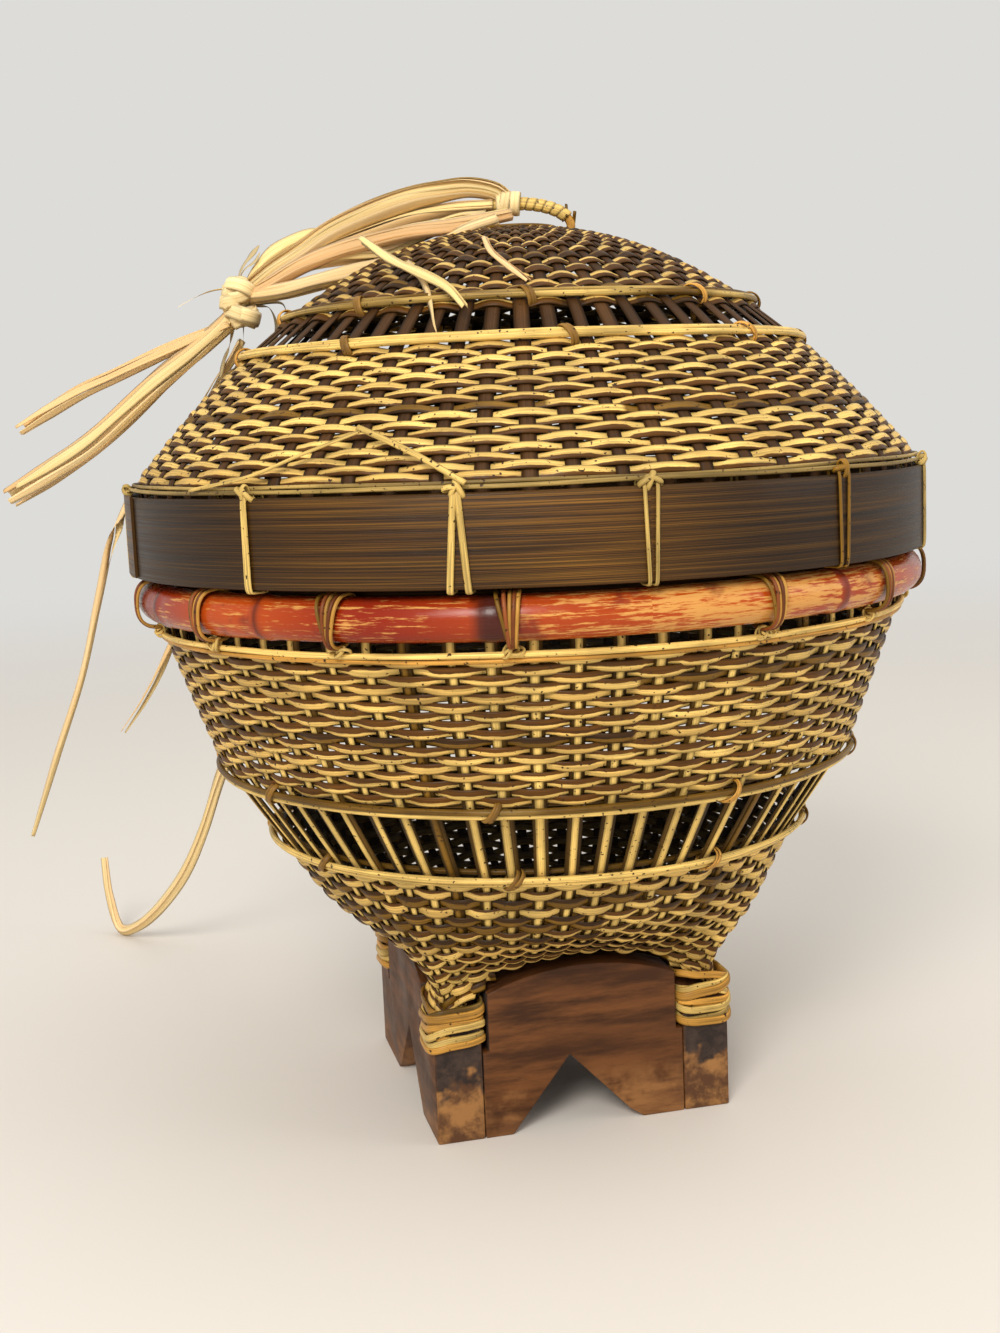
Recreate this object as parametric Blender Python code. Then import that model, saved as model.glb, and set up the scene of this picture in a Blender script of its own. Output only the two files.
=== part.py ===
"""A lidded woven rattan basket on a square notched stand, in metres, +Z up, standing on z = 0.

The bowl rises from a square foot to a round mouth with a split bamboo rim. The lid lifts straight off.
Angles run from the front (-Y) towards the right (+X). Round pieces share one set of flat facets, so
nested rings keep the same clearance all the way round.
"""
import math

import bpy
import bmesh
from mathutils import Vector

MM = 0.001

# Angular layout
FACETS = 32
FACET = math.tau / FACETS
STAKES = 64
SLOT = math.tau / STAKES
STAKE_HALF_ANGLE = math.radians(1.3)

# Stand
STAND_HALF = 60.6 * MM
BOARD_THICK = 19 * MM
BOARD_PEAK = 66.5 * MM
BOARD_ARCH_RADIUS = 101.8 * MM
BOARD_GAP = 0.3 * MM
NOTCH_APEX = 30 * MM
NOTCH_HALF = 27 * MM
NOTCH_SHIFT = -3 * MM
TOE_CHAMFER = 4 * MM
ARCH_STEPS = 10

# Corner bindings
BINDING_LOW = 36 * MM
BINDING_HIGH = 57.6 * MM
BINDING_THICK = 2 * MM
BINDING_CLEAR = 0.4 * MM
BINDING_INNER = 41.2 * MM
BINDING_SLOT_LOW = 35.2 * MM
BINDING_SLOT_PLAY = 0.5 * MM

# Bowl wall: radius and height of the outer surface
WALL_THICK = 2.2 * MM
STAKE_SET_BACK = 2.7 * MM
STAKE_THICK = 1.2 * MM
FOOT_HALF = 60.2 * MM
EDGE_CLEAR = 1.9 * MM
FOOT_STRAIGHT_Z = 60 * MM
BELLY_Z = 86 * MM
BELLY_BLEND = 0.58
OPEN_LOW = (110 * MM, 114.5 * MM)
OPEN_HIGH = (130.5 * MM, 146 * MM)
NECK = (150.3 * MM, 205.3 * MM)
WALL_RIM_Z = 221.5 * MM
STAKE_RING_Z = 216 * MM
STAKE_FOOT_CLEAR = 2 * MM
STAKE_FOOT_RING = 4 * MM
EDGE_RISE_SHARE = 0.45
FLOOR_HALF = 54.5 * MM
FLOOR_LOW = 68.6 * MM
FLOOR_THICK = 2.2 * MM

# Rim
POLE_BACK = 151 * MM
POLE_RADIUS = 8 * MM
POLE_Z = 215.5 * MM
NECK_HOOP_DROP = 4 * MM
NECK_HOOP_STAND_OFF = 1.1 * MM
COLLAR = (141.6 * MM, 143.8 * MM, 210 * MM, 246 * MM)

# Lid: a paraboloid over a straight band
CROWN_TOP = 357 * MM
LID_BOW = 3.9
LID_EDGE_R = 156.5 * MM
LID_LOW_MID_R = 136 * MM
LID_OPEN_LOW_R = 112.5 * MM
LID_OPEN_HIGH_R = 94 * MM
CROWN_MID_R = 56 * MM
HANDLE_WINDOW_OUT_R = 28 * MM
HANDLE_WINDOW_IN_R = 18.5 * MM
CROWN_PLATE_R = 12 * MM
LID_STAKE_RING_R = 84 * MM
BAND_LOW = 225.5 * MM
BAND_HIGH = 256.5 * MM
BAND_OUTER = (158.2 * MM, 160 * MM)
BAND_INNER = (151.8 * MM, 153.6 * MM)
BAND_INNER_HIGH = 254.5 * MM
TUCK_R = 158.5 * MM
TUCK_RING = (240 * MM, 246 * MM)
BAND_LINE = (158 * MM, 159.6 * MM, 258.3 * MM, 259.9 * MM)

HOOP_HALF = 1.1 * MM
HOOP_STAND_OFF = 2.1 * MM

# Lashings: slots between stakes, counted from the front
LASHING_WIDTH = 4 * MM
LASHING_THICK = 1.1 * MM
LASHING_CLEAR = 0.4 * MM
RIM_LASHING_SLOTS = (-15, -11, -7, -3, 3, 7, 12, 18, 24, 30, 37, 43)
BAND_LASHING_SLOTS = (-16, -9, -4, 0, 5, 10, 16, 22, 28, 34, 41)
RIM_LASHING_BACK = 145.4 * MM

# Handle: a closed ellipse of cane through two windows in the crown
HANDLE_ANGLE = 6.5 * FACET
HANDLE_HALF = 23 * MM
HANDLE_RISE = 9.7 * MM
HANDLE_CENTRE_Z = 355.6 * MM
HANDLE_CORE_R = 1.9 * MM
WRAP_R = (2.2 * MM, 2.7 * MM)
WRAP_END = math.radians(24)
HANDLE_WINDOW_FACETS = (6, 7, 22, 23)

# Raffia: routes in millimetres as (across, back, up), in a frame turned with the way the bow hangs
RAFFIA_TURN = math.radians(-14.6)
TIE_R = (3.05 * MM, 5.4 * MM)
TIE_SPAN = (-5.4 * MM, 1.6 * MM)
KNOT_CENTRE = (-112.6, 0, 331)
KNOT_HALF = (6.5 * MM, 6.5 * MM, 12.5 * MM)
RAFFIA_ROUTES = {
    "raffia_loop_upper": (8.0, [
        (-6.6, -1, 372.3), (-21.8, -1, 373), (-41.4, 0, 369), (-57.4, 0, 364.2), (-73.5, 0, 357.8),
        (-86.1, 1, 350), (-101.5, 2, 342)]),
    "raffia_loop_lower": (6.4, [
        (-6.5, -9.8, 360.2), (-18, -10, 359.4), (-30, -9, 357.6), (-54, -8, 349.6), (-79, -6, 340.5),
        (-101, -4, 333.8)]),
    "raffia_tassel": (10.0, [
        (-119.5, -1, 322.5), (-131, -3, 313), (-146, -5, 301.5), (-173, -5, 279.5), (-192, -5, 267.5),
        (-212, -5, 256.6)]),
    "raffia_tail_front": (3.0, [
        (-58, -44, 349), (-46.4, -58.5, 339.6), (-34.7, -81, 332.4), (-24, -96.5, 325.6),
        (-17.7, -105.5, 318)]),
    "raffia_tail_right": (3.0, [
        (-11.2, -60.5, 345.5), (-7.9, -75, 338.2), (-2, -87.5, 332.2), (4.4, -99, 326.2)]),
    "raffia_strand_long": (3.0, [
        (-113.6, 4, 316), (-119, 8, 308.5), (-125.5, 12, 300.8), (-137, 22, 287), (-149, 30, 272),
        (-159.5, 32, 262), (-166, 22, 256), (-170.5, 12, 244), (-176, 10, 232), (-184, 10, 206),
        (-193, 10, 176), (-206, 10, 143.5), (-219, 10, 110)]),
    "raffia_strand_short": (3.0, [
        (-146, 80, 250), (-151, 78, 226), (-158, 74, 201), (-168.5, 70, 177), (-179.5, 70, 158.5),
        (-191, 70, 143)]),
    "raffia_strand_trailing": (5.0, [
        (-123, 114, 250), (-127, 118, 226), (-133, 122, 195), (-141, 129, 160), (-150, 136, 130),
        (-162, 145, 104), (-174, 155, 75), (-188, 168, 49), (-207, 188, 25), (-226, 207, 8),
        (-239, 219, 4), (-245.5, 226, 22), (-248, 231, 42)]),
}
POINT_SPACING_IN_DIAMETERS = 2.8

COLOURS = {
    "wood": ((0.16, 0.065, 0.035), 0.6),
    "cane": ((0.72, 0.54, 0.27), 0.5),
    "weave": ((0.66, 0.47, 0.21), 0.55),
    "stake": ((0.25, 0.12, 0.045), 0.55),
    "band": ((0.13, 0.075, 0.035), 0.5),
    "pole": ((0.55, 0.09, 0.02), 0.3),
    "lashing": ((0.45, 0.17, 0.06), 0.45),
    "raffia": ((0.82, 0.68, 0.42), 0.7),
}


def clear_scene():
    for obj in list(bpy.data.objects):
        bpy.data.objects.remove(obj, do_unlink=True)


def material(name, finish):
    colour, roughness = COLOURS[finish]
    made = bpy.data.materials.new(name)
    made.use_nodes = True
    shader = made.node_tree.nodes["Principled BSDF"]
    shader.inputs["Base Color"].default_value = (*colour, 1.0)
    shader.inputs["Roughness"].default_value = roughness
    shader.inputs["Metallic"].default_value = 0.0
    return made


def add_object(name, data, finish, body):
    """Puts a shape whose points are in the basket's frame onto its body."""
    data.materials.append(material(name, finish))
    obj = bpy.data.objects.new(name, data)
    bpy.context.scene.collection.objects.link(obj)
    obj.parent = body
    obj.location = -body.location
    return obj


def add_solid(name, verts, faces, finish, body):
    mesh = bpy.data.meshes.new(name)
    shape = bmesh.new()
    points = [shape.verts.new(v) for v in verts]
    for face in faces:
        shape.faces.new([points[i] for i in face])
    bmesh.ops.recalc_face_normals(shape, faces=shape.faces)
    shape.to_mesh(mesh)
    shape.free()
    return add_object(name, mesh, finish, body)


def at(radius, angle, height):
    return Vector((radius * math.sin(angle), -radius * math.cos(angle), height))


def facet_factor(angle):
    """How far in the flat of a facet lies, as a share of the radius at its corners."""
    offset = angle - FACET * round(angle / FACET)
    return math.cos(FACET / 2) / math.cos(offset)


def facet_angles():
    return [(k + 0.5) * FACET for k in range(FACETS)]


def stake_angles():
    """Both edges of every stake in turn; the cell after an even entry is a stake."""
    angles = []
    for k in range(STAKES):
        middle = (k + 0.5) * SLOT
        angles += [middle - STAKE_HALF_ANGLE, middle + STAKE_HALF_ANGLE]
    return angles


def faceted(radius, height):
    """A row of a wall: the same radius and height at every facet corner."""
    return lambda angle: (radius * facet_factor(angle), height)


def strip_faces(low, high):
    """Quads between two closed loops of point numbers."""
    count = len(low)
    return [(low[i], low[(i + 1) % count], high[(i + 1) % count], high[i]) for i in range(count)]


def add_ring(name, section, finish, body):
    """Carries a closed (radius, height) outline round the facets."""
    verts = [at(r, a, z) for a in facet_angles() for r, z in section]
    size = len(section)
    loops = [list(range(k * size, (k + 1) * size)) for k in range(FACETS)]
    faces = []
    for k in range(FACETS):
        faces += strip_faces(loops[k], loops[(k + 1) % FACETS])
    return add_solid(name, verts, faces, finish, body)


def box_section(inner, outer, low, high):
    return [(inner, low), (outer, low), (outer, high), (inner, high)]


def add_wall(name, angles, rows, solid, finish, body, capped=False):
    """Closed skin round the solid cells of a wall.

    rows holds, from one edge to the other, the outer and the inner surface as functions from an
    angle to (radius, height). solid(row, cell) tells which cells are filled. A capped wall ends in
    a flat plate across its last row.
    """
    count = len(angles)
    verts = []
    numbers = {}

    def point(row, i, side):
        key = (row, i % count, side)
        if key not in numbers:
            radius, height = rows[row][side](angles[i % count])
            numbers[key] = len(verts)
            verts.append(at(radius, angles[i % count], height))
        return numbers[key]

    def filled(row, cell):
        inside = 0 <= row < len(rows) - 1
        return inside and solid(row, cell % count)

    def edge(row_a, i_a, row_b, i_b):
        return (point(row_a, i_a, 0), point(row_b, i_b, 0), point(row_b, i_b, 1), point(row_a, i_a, 1))

    faces = []
    last = len(rows) - 1
    for row in range(last):
        for cell in range(count):
            if not filled(row, cell):
                continue
            for side in (0, 1):
                faces.append((point(row, cell, side), point(row, cell + 1, side),
                              point(row + 1, cell + 1, side), point(row + 1, cell, side)))
            if not filled(row - 1, cell):
                faces.append(edge(row, cell, row, cell + 1))
            if not filled(row + 1, cell) and not (capped and row + 1 == last):
                faces.append(edge(row + 1, cell, row + 1, cell + 1))
            if not filled(row, cell - 1):
                faces.append(edge(row, cell, row + 1, cell))
            if not filled(row, cell + 1):
                faces.append(edge(row, cell + 1, row + 1, cell + 1))
    if capped:
        for side in (0, 1):
            faces.append([point(last, i, side) for i in range(count)])
    return add_solid(name, verts, faces, finish, body)


def add_prism(name, outline, place, finish, body):
    """Extrudes an outline between two faces; place(a, b, side) gives a point, side being 0 or 1."""
    size = len(outline)
    verts = [place(a, b, side) for side in (0, 1) for a, b in outline]
    loops = [list(range(size)), list(range(size, 2 * size))]
    faces = strip_faces(*loops) + [loops[0], loops[1][::-1]]
    return add_solid(name, verts, faces, finish, body)


def add_loop(name, outer, inner, place, finish, body):
    """Extrudes the strip between two outlines of as many points, such as one turn of a lashing."""
    size = len(outer)
    verts = [place(a, b, side) for side in (0, 1) for a, b in outer + inner]
    front_out, front_in, back_out, back_in = [list(range(k * size, (k + 1) * size)) for k in range(4)]
    faces = strip_faces(front_out, front_in) + strip_faces(back_out, back_in)
    faces += strip_faces(front_out, back_out) + strip_faces(front_in, back_in)
    return add_solid(name, verts, faces, finish, body)


# Stand

def arch_height(across):
    """Top of a board at a distance from its middle: an arc that peaks in the middle."""
    return BOARD_PEAK - BOARD_ARCH_RADIUS + math.sqrt(BOARD_ARCH_RADIUS ** 2 - across ** 2)


def arch_points(start, end):
    step = (end - start) / ARCH_STEPS
    return [(start + k * step, arch_height(start + k * step)) for k in range(ARCH_STEPS + 1)]


def notched_foot(half):
    """Underside of a board from left to right, with its V notch and one blunted toe."""
    left = NOTCH_SHIFT - NOTCH_HALF
    right = NOTCH_SHIFT + NOTCH_HALF
    toe = right - TOE_CHAMFER * NOTCH_HALF / NOTCH_APEX
    return [(-half, 0), (left, 0), (NOTCH_SHIFT * 2, NOTCH_APEX), (toe - TOE_CHAMFER / 2, TOE_CHAMFER),
            (right, 0), (half, 0)]


def side_board_outline():
    """A full-depth board, slotted from the top where the corner bindings pass through."""
    outer_edge = BINDING_INNER + BINDING_SLOT_PLAY
    inner_edge = BINDING_INNER - BINDING_THICK - BINDING_SLOT_PLAY
    slot = [(outer_edge, BINDING_SLOT_LOW), (inner_edge, BINDING_SLOT_LOW)]
    right_end = [(STAND_HALF, arch_height(STAND_HALF)), (outer_edge, arch_height(outer_edge))]
    left_end = [(-a, b) for a, b in reversed(right_end)]
    middle = arch_points(inner_edge, -inner_edge)
    left_slot = [(-a, b) for a, b in reversed(slot)]
    return notched_foot(STAND_HALF) + right_end + slot + middle + left_slot + left_end


def cross_board_outline():
    """A board between the side boards, its upper ends cut back to let the bindings pass."""
    half = STAND_HALF - BOARD_THICK - BOARD_GAP
    shoulder = BINDING_INNER - BINDING_THICK - BINDING_SLOT_PLAY
    ends = [(half, BINDING_SLOT_LOW), (shoulder, BINDING_SLOT_LOW)]
    middle = arch_points(shoulder, -shoulder)
    return notched_foot(half) + ends + middle + [(-a, b) for a, b in reversed(ends)]


def build_stand(body):
    near = STAND_HALF - BOARD_THICK
    for name, sign in (("base_board_left", -1), ("base_board_right", 1)):
        def place(a, b, side, sign=sign):
            return Vector((sign * (near if side else STAND_HALF), a, b))
        add_prism(name, side_board_outline(), place, "wood", body)
    for name, sign in (("base_board_front", -1), ("base_board_back", 1)):
        def place(a, b, side, sign=sign):
            return Vector((a, sign * (near if side else STAND_HALF), b))
        add_prism(name, cross_board_outline(), place, "wood", body)


def build_bindings(body):
    """A square sleeve round each corner of the stand, through the slots in its boards."""
    wide = STAND_HALF + BINDING_CLEAR
    inner = [(BINDING_INNER, BINDING_INNER), (wide, BINDING_INNER), (wide, wide), (BINDING_INNER, wide)]
    low = BINDING_INNER - BINDING_THICK
    high = wide + BINDING_THICK
    outer = [(low, low), (high, low), (high, high), (low, high)]
    corners = (("front_left", -1, -1), ("front_right", 1, -1), ("back_left", -1, 1), ("back_right", 1, 1))
    for name, sx, sy in corners:
        def place(a, b, side, sx=sx, sy=sy):
            return Vector((sx * a, sy * b, BINDING_HIGH if side else BINDING_LOW))
        add_loop("corner_binding_" + name, outer, inner, place, "cane", body)


# Bowl

def square_radius(half, angle):
    """Distance from the axis to the side of a square of this half width."""
    return half / max(abs(math.sin(angle)), abs(math.cos(angle)))


def edge_height(angle):
    """The bowl's lower edge follows the arched boards."""
    across = square_radius(STAND_HALF, angle) * min(abs(math.sin(angle)), abs(math.cos(angle)))
    return arch_height(min(across, STAND_HALF)) + EDGE_CLEAR


def foot_rows(inset):
    """Rows of the lower wall from its round top to its square edge, moved inwards by inset."""
    low_r, low_z = OPEN_LOW
    corner_edge = edge_height(math.pi / 4)

    def round_row(angle):
        return (low_r - inset) * facet_factor(angle), low_z

    def belly_row(angle):
        square = square_radius(FOOT_HALF, angle)
        blended = square + BELLY_BLEND * (low_r * facet_factor(angle) - square)
        return blended - inset, BELLY_Z

    def straight_row(angle):
        rise = (edge_height(angle) - corner_edge) * EDGE_RISE_SHARE
        return square_radius(FOOT_HALF - inset, angle), FOOT_STRAIGHT_Z + rise

    def edge_row(angle):
        return square_radius(FOOT_HALF - inset, angle), edge_height(angle)

    return [round_row, belly_row, straight_row, edge_row]


def everywhere(_row, _cell):
    return True


def build_bowl_walls(body):
    rows = list(zip(foot_rows(0), foot_rows(WALL_THICK)))
    add_wall("bowl_lower_weave", facet_angles(), rows, everywhere, "weave", body)
    rows = [(faceted(r, z), faceted(r - WALL_THICK, z)) for r, z in (NECK, OPEN_HIGH)]
    add_wall("bowl_upper_weave", facet_angles(), rows, everywhere, "weave", body)
    floor = [(-FLOOR_HALF, -FLOOR_HALF), (FLOOR_HALF, -FLOOR_HALF),
             (FLOOR_HALF, FLOOR_HALF), (-FLOOR_HALF, FLOOR_HALF)]

    def place(a, b, side):
        return Vector((a, b, FLOOR_LOW + side * FLOOR_THICK))
    add_prism("bowl_floor", floor, place, "weave", body)


def build_bowl_stakes(body):
    """Flat stakes joined by a ring behind the rim pole and one below the open band."""
    front = STAKE_SET_BACK
    back = STAKE_SET_BACK + STAKE_THICK
    slope = (OPEN_HIGH[0] - OPEN_LOW[0]) / (OPEN_HIGH[1] - OPEN_LOW[1])
    ring_low = OPEN_LOW[1] + STAKE_FOOT_CLEAR
    ring_high = ring_low + STAKE_FOOT_RING
    levels = [(NECK[0], WALL_RIM_Z), (NECK[0], STAKE_RING_Z), NECK, OPEN_HIGH,
              (OPEN_LOW[0] + slope * (ring_high - OPEN_LOW[1]), ring_high),
              (OPEN_LOW[0] + slope * (ring_low - OPEN_LOW[1]), ring_low)]
    rows = [(faceted(r - front, z), faceted(r - back, z)) for r, z in levels]
    rings = (0, len(rows) - 2)

    def solid(row, cell):
        return row in rings or cell % 2 == 0
    add_wall("bowl_stakes", stake_angles(), rows, solid, "stake", body)


def hoop_section(radius, height):
    return box_section(radius - HOOP_HALF, radius + HOOP_HALF, height - HOOP_HALF, height + HOOP_HALF)


def build_bowl_hoops(body):
    low_r, low_z = OPEN_LOW
    high_r, high_z = OPEN_HIGH
    add_ring("bowl_lower_hoop", hoop_section(low_r + HOOP_STAND_OFF, low_z), "cane", body)
    add_ring("bowl_upper_hoop", hoop_section(high_r + HOOP_STAND_OFF, high_z), "cane", body)
    neck = hoop_section(NECK[0] + NECK_HOOP_STAND_OFF, NECK[1] - NECK_HOOP_DROP)
    add_ring("neck_hoop", neck, "cane", body)


# Rim

def pole_bulge(radius):
    """Half-round face of the pole, from its underside to its top."""
    arc = [math.radians(a) for a in range(-90, 91, 30)]
    return [(POLE_BACK + radius * math.cos(a), POLE_Z + radius * math.sin(a)) for a in arc]


def lashing_outline(radius, back):
    """A turn of cane over the pole's face and straight behind the wall."""
    return pole_bulge(radius) + [(back, POLE_Z + radius), (back, POLE_Z - radius)]


def build_rim(body):
    add_ring("rim_pole", pole_bulge(POLE_RADIUS), "pole", body)
    add_ring("rim_collar", box_section(*COLLAR), "band", body)
    inner = lashing_outline(POLE_RADIUS + LASHING_CLEAR, RIM_LASHING_BACK)
    outer = lashing_outline(POLE_RADIUS + LASHING_CLEAR + LASHING_THICK, RIM_LASHING_BACK - LASHING_THICK)
    build_lashings("rim_lashing_", RIM_LASHING_SLOTS, outer, inner, "lashing", body)


def build_lashings(prefix, slots, outer, inner, finish, body):
    """One closed turn of cane at each slot, in the upright plane through the axis."""
    for number, slot in enumerate(slots, start=1):
        angle = slot * SLOT
        factor = facet_factor(angle)
        tangent = Vector((math.cos(angle), math.sin(angle), 0))

        def place(r, z, side, angle=angle, factor=factor, tangent=tangent):
            return at(r * factor, angle, z) + tangent * LASHING_WIDTH * (side - 0.5)
        add_loop(f"{prefix}{number:02d}", outer, inner, place, finish, body)


# Lid

def lid_surface(radius, depth):
    """(radius, height) of the point a depth below the lid's outer surface, along its normal."""
    slope = 2 * LID_BOW * radius
    length = math.hypot(slope, 1)
    height = CROWN_TOP - LID_BOW * radius ** 2
    return radius - depth * slope / length, height - depth / length


def lid_rows(radii, front, back):
    return [(faceted(*lid_surface(r, front)), faceted(*lid_surface(r, back))) for r in radii]


def build_lid_weave(body):
    lower = lid_rows((LID_EDGE_R, LID_LOW_MID_R, LID_OPEN_LOW_R), 0, WALL_THICK)
    add_wall("lid_lower_weave", facet_angles(), lower, everywhere, "weave", body)
    radii = (LID_OPEN_HIGH_R, LID_STAKE_RING_R, CROWN_MID_R, HANDLE_WINDOW_OUT_R, HANDLE_WINDOW_IN_R)
    crown = lid_rows(radii, 0, WALL_THICK)
    window_row = len(radii) - 2
    crown.append(tuple(faceted(CROWN_PLATE_R, side(0)[1]) for side in crown[-1]))

    def solid(row, cell):
        return row != window_row or cell + 1 not in HANDLE_WINDOW_FACETS
    add_wall("lid_crown_weave", facet_angles(), crown, solid, "weave", body, capped=True)


def build_lid_stakes(body):
    """Flat stakes, tucked between the band's strips below and joined under the crown above."""
    front = STAKE_SET_BACK
    back = STAKE_SET_BACK + STAKE_THICK
    tuck = [(TUCK_R - front, z) for z in TUCK_RING]
    rows = [(faceted(r, z), faceted(r - STAKE_THICK, z)) for r, z in tuck]
    rows += lid_rows((LID_EDGE_R, LID_LOW_MID_R, LID_OPEN_LOW_R, LID_OPEN_HIGH_R, LID_STAKE_RING_R),
                     front, back)
    rings = (0, len(rows) - 2)

    def solid(row, cell):
        return row in rings or cell % 2 == 0
    add_wall("lid_stakes", stake_angles(), rows, solid, "stake", body)


def build_lid_band(body):
    add_ring("lid_band_outer", box_section(*BAND_OUTER, BAND_LOW, BAND_HIGH), "band", body)
    add_ring("lid_band_inner", box_section(*BAND_INNER, BAND_LOW, BAND_INNER_HIGH), "band", body)
    add_ring("lid_band_line", box_section(*BAND_LINE), "cane", body)
    for name, radius in (("lid_lower_hoop", LID_OPEN_LOW_R), ("lid_upper_hoop", LID_OPEN_HIGH_R)):
        add_ring(name, hoop_section(*lid_surface(radius, -HOOP_STAND_OFF)), "cane", body)
    clear = LASHING_CLEAR
    inner = box_section(BAND_INNER[0] - clear, BAND_OUTER[1] + clear, BAND_LOW - clear, BAND_HIGH + clear)
    far = clear + LASHING_THICK
    outer = box_section(BAND_INNER[0] - far, BAND_OUTER[1] + far, BAND_LOW - far, BAND_HIGH + far)
    build_lashings("band_lashing_", BAND_LASHING_SLOTS, outer, inner, "cane", body)


# Handle

def handle_frame(turn):
    """Point and outward normal of the handle's ellipse, turn running up from its outer end."""
    along = at(1, HANDLE_ANGLE, 0)
    up = Vector((0, 0, 1))
    centre = along * (HANDLE_HALF * math.cos(turn)) + up * (HANDLE_CENTRE_Z + HANDLE_RISE * math.sin(turn))
    normal = along * (HANDLE_RISE * math.cos(turn)) + up * (HANDLE_HALF * math.sin(turn))
    return centre, normal.normalized()


def circle_round(centre, normal, radius, sides):
    across = at(1, HANDLE_ANGLE + math.pi / 2, 0)
    steps = [math.tau * k / sides for k in range(sides)]
    return [centre + radius * (math.cos(s) * normal + math.sin(s) * across) for s in steps]


def build_handle(body):
    turns = 24
    sides = 8
    verts = []
    for k in range(turns):
        verts += circle_round(*handle_frame(math.tau * k / turns), HANDLE_CORE_R, sides)
    loops = [list(range(k * sides, (k + 1) * sides)) for k in range(turns)]
    faces = []
    for k in range(turns):
        faces += strip_faces(loops[k], loops[(k + 1) % turns])
    add_solid("handle_core", verts, faces, "cane", body)
    build_handle_wrap(sides, body)


def build_handle_wrap(sides, body):
    """A sleeve over the part of the handle that stands above the crown."""
    steps = 12
    inner = []
    outer = []
    verts = []
    for k in range(steps + 1):
        turn = WRAP_END + (math.pi - 2 * WRAP_END) * k / steps
        for radius, loops in zip(WRAP_R, (inner, outer)):
            loops.append(list(range(len(verts), len(verts) + sides)))
            verts += circle_round(*handle_frame(turn), radius, sides)
    faces = strip_faces(inner[0], outer[0]) + strip_faces(inner[-1], outer[-1])
    for k in range(steps):
        faces += strip_faces(inner[k], inner[k + 1]) + strip_faces(outer[k], outer[k + 1])
    add_solid("handle_wrap", verts, faces, "cane", body)


# Raffia

def turned(across, back, up):
    """A point of the raffia's frame, given in millimetres, in the basket's frame."""
    cos = math.cos(RAFFIA_TURN)
    sin = math.sin(RAFFIA_TURN)
    return Vector((across * cos - back * sin, across * sin + back * cos, up)) * MM


def smooth_route(points, spacing):
    """Points a spacing apart on the Catmull-Rom curve through the given ones."""
    ends = [2 * points[0] - points[1]] + points + [2 * points[-1] - points[-2]]
    fine = []
    for a, b, c, d in zip(ends, ends[1:], ends[2:], ends[3:]):
        for k in range(16):
            t = k / 16
            fine.append(0.5 * (2 * b + (c - a) * t + (2 * a - 5 * b + 4 * c - d) * t ** 2
                               + (3 * b - a - 3 * c + d) * t ** 3))
    fine.append(points[-1])
    lengths = [0.0]
    for a, b in zip(fine, fine[1:]):
        lengths.append(lengths[-1] + (b - a).length)
    steps = max(3, round(lengths[-1] / spacing))
    route = []
    k = 0
    for step in range(steps + 1):
        goal = lengths[-1] * step / steps
        while k < len(fine) - 2 and lengths[k + 1] < goal:
            k += 1
        share = (goal - lengths[k]) / (lengths[k + 1] - lengths[k])
        route.append(fine[k].lerp(fine[k + 1], share))
    return route


def add_strand(name, diameter, route, body):
    curve = bpy.data.curves.new(name, "CURVE")
    curve.dimensions = "3D"
    curve.bevel_depth = diameter / 2
    curve.bevel_resolution = 2
    curve.use_fill_caps = True
    spline = curve.splines.new("POLY")
    spline.points.add(len(route) - 1)
    for spot, place in zip(spline.points, route):
        spot.co = (*place, 1.0)
    return add_object(name, curve, "raffia", body)


def build_raffia(body):
    for name, (diameter, points) in RAFFIA_ROUTES.items():
        width = diameter * MM
        route = smooth_route([turned(*p) for p in points], POINT_SPACING_IN_DIAMETERS * width)
        add_strand(name, width, route, body)
    build_tie(body)
    build_knot(body)


def build_tie(body):
    """A collar of raffia round the handle's bar, just left of its top."""
    sides = 12
    along = at(1, HANDLE_ANGLE, 0)
    across = at(1, HANDLE_ANGLE + math.pi / 2, 0)
    middle = Vector((0, 0, HANDLE_CENTRE_Z + HANDLE_RISE))

    def outline(radius):
        steps = [math.tau * k / sides for k in range(sides)]
        return [(radius * math.cos(s), radius * math.sin(s)) for s in steps]

    def place(a, b, side):
        return middle + along * TIE_SPAN[side] + across * a + Vector((0, 0, b))
    add_loop("raffia_tie", outline(TIE_R[1]), outline(TIE_R[0]), place, "raffia", body)


def build_knot(body):
    mesh = bpy.data.meshes.new("raffia_knot")
    shape = bmesh.new()
    bmesh.ops.create_uvsphere(shape, u_segments=12, v_segments=8, radius=1)
    bmesh.ops.scale(shape, vec=Vector(KNOT_HALF), verts=shape.verts)
    bmesh.ops.translate(shape, vec=turned(*KNOT_CENTRE), verts=shape.verts)
    shape.to_mesh(mesh)
    shape.free()
    add_object("raffia_knot", mesh, "raffia", body)


def add_body(name, height):
    """An empty that its pieces hang on; the lid's sits on its lifting axis."""
    body = bpy.data.objects.new(name, None)
    body.location = (0, 0, height)
    bpy.context.scene.collection.objects.link(body)
    return body


def main():
    clear_scene()
    basket = add_body("basket", 0)
    lid = add_body("lid", BAND_LOW)
    lid.parent = basket
    build_stand(basket)
    build_bindings(basket)
    build_bowl_walls(basket)
    build_bowl_stakes(basket)
    build_bowl_hoops(basket)
    build_rim(basket)
    build_lid_weave(lid)
    build_lid_stakes(lid)
    build_lid_band(lid)
    build_handle(lid)
    build_raffia(lid)


main()
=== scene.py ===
"""Looks of a lidded woven rattan basket on a notched stand.

Angles run from the front (-Y) towards the right (+X). Strips of cane are sections carried along paths,
worked out as whole arrays in the basket's own frame, in metres.
"""
import math

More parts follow.
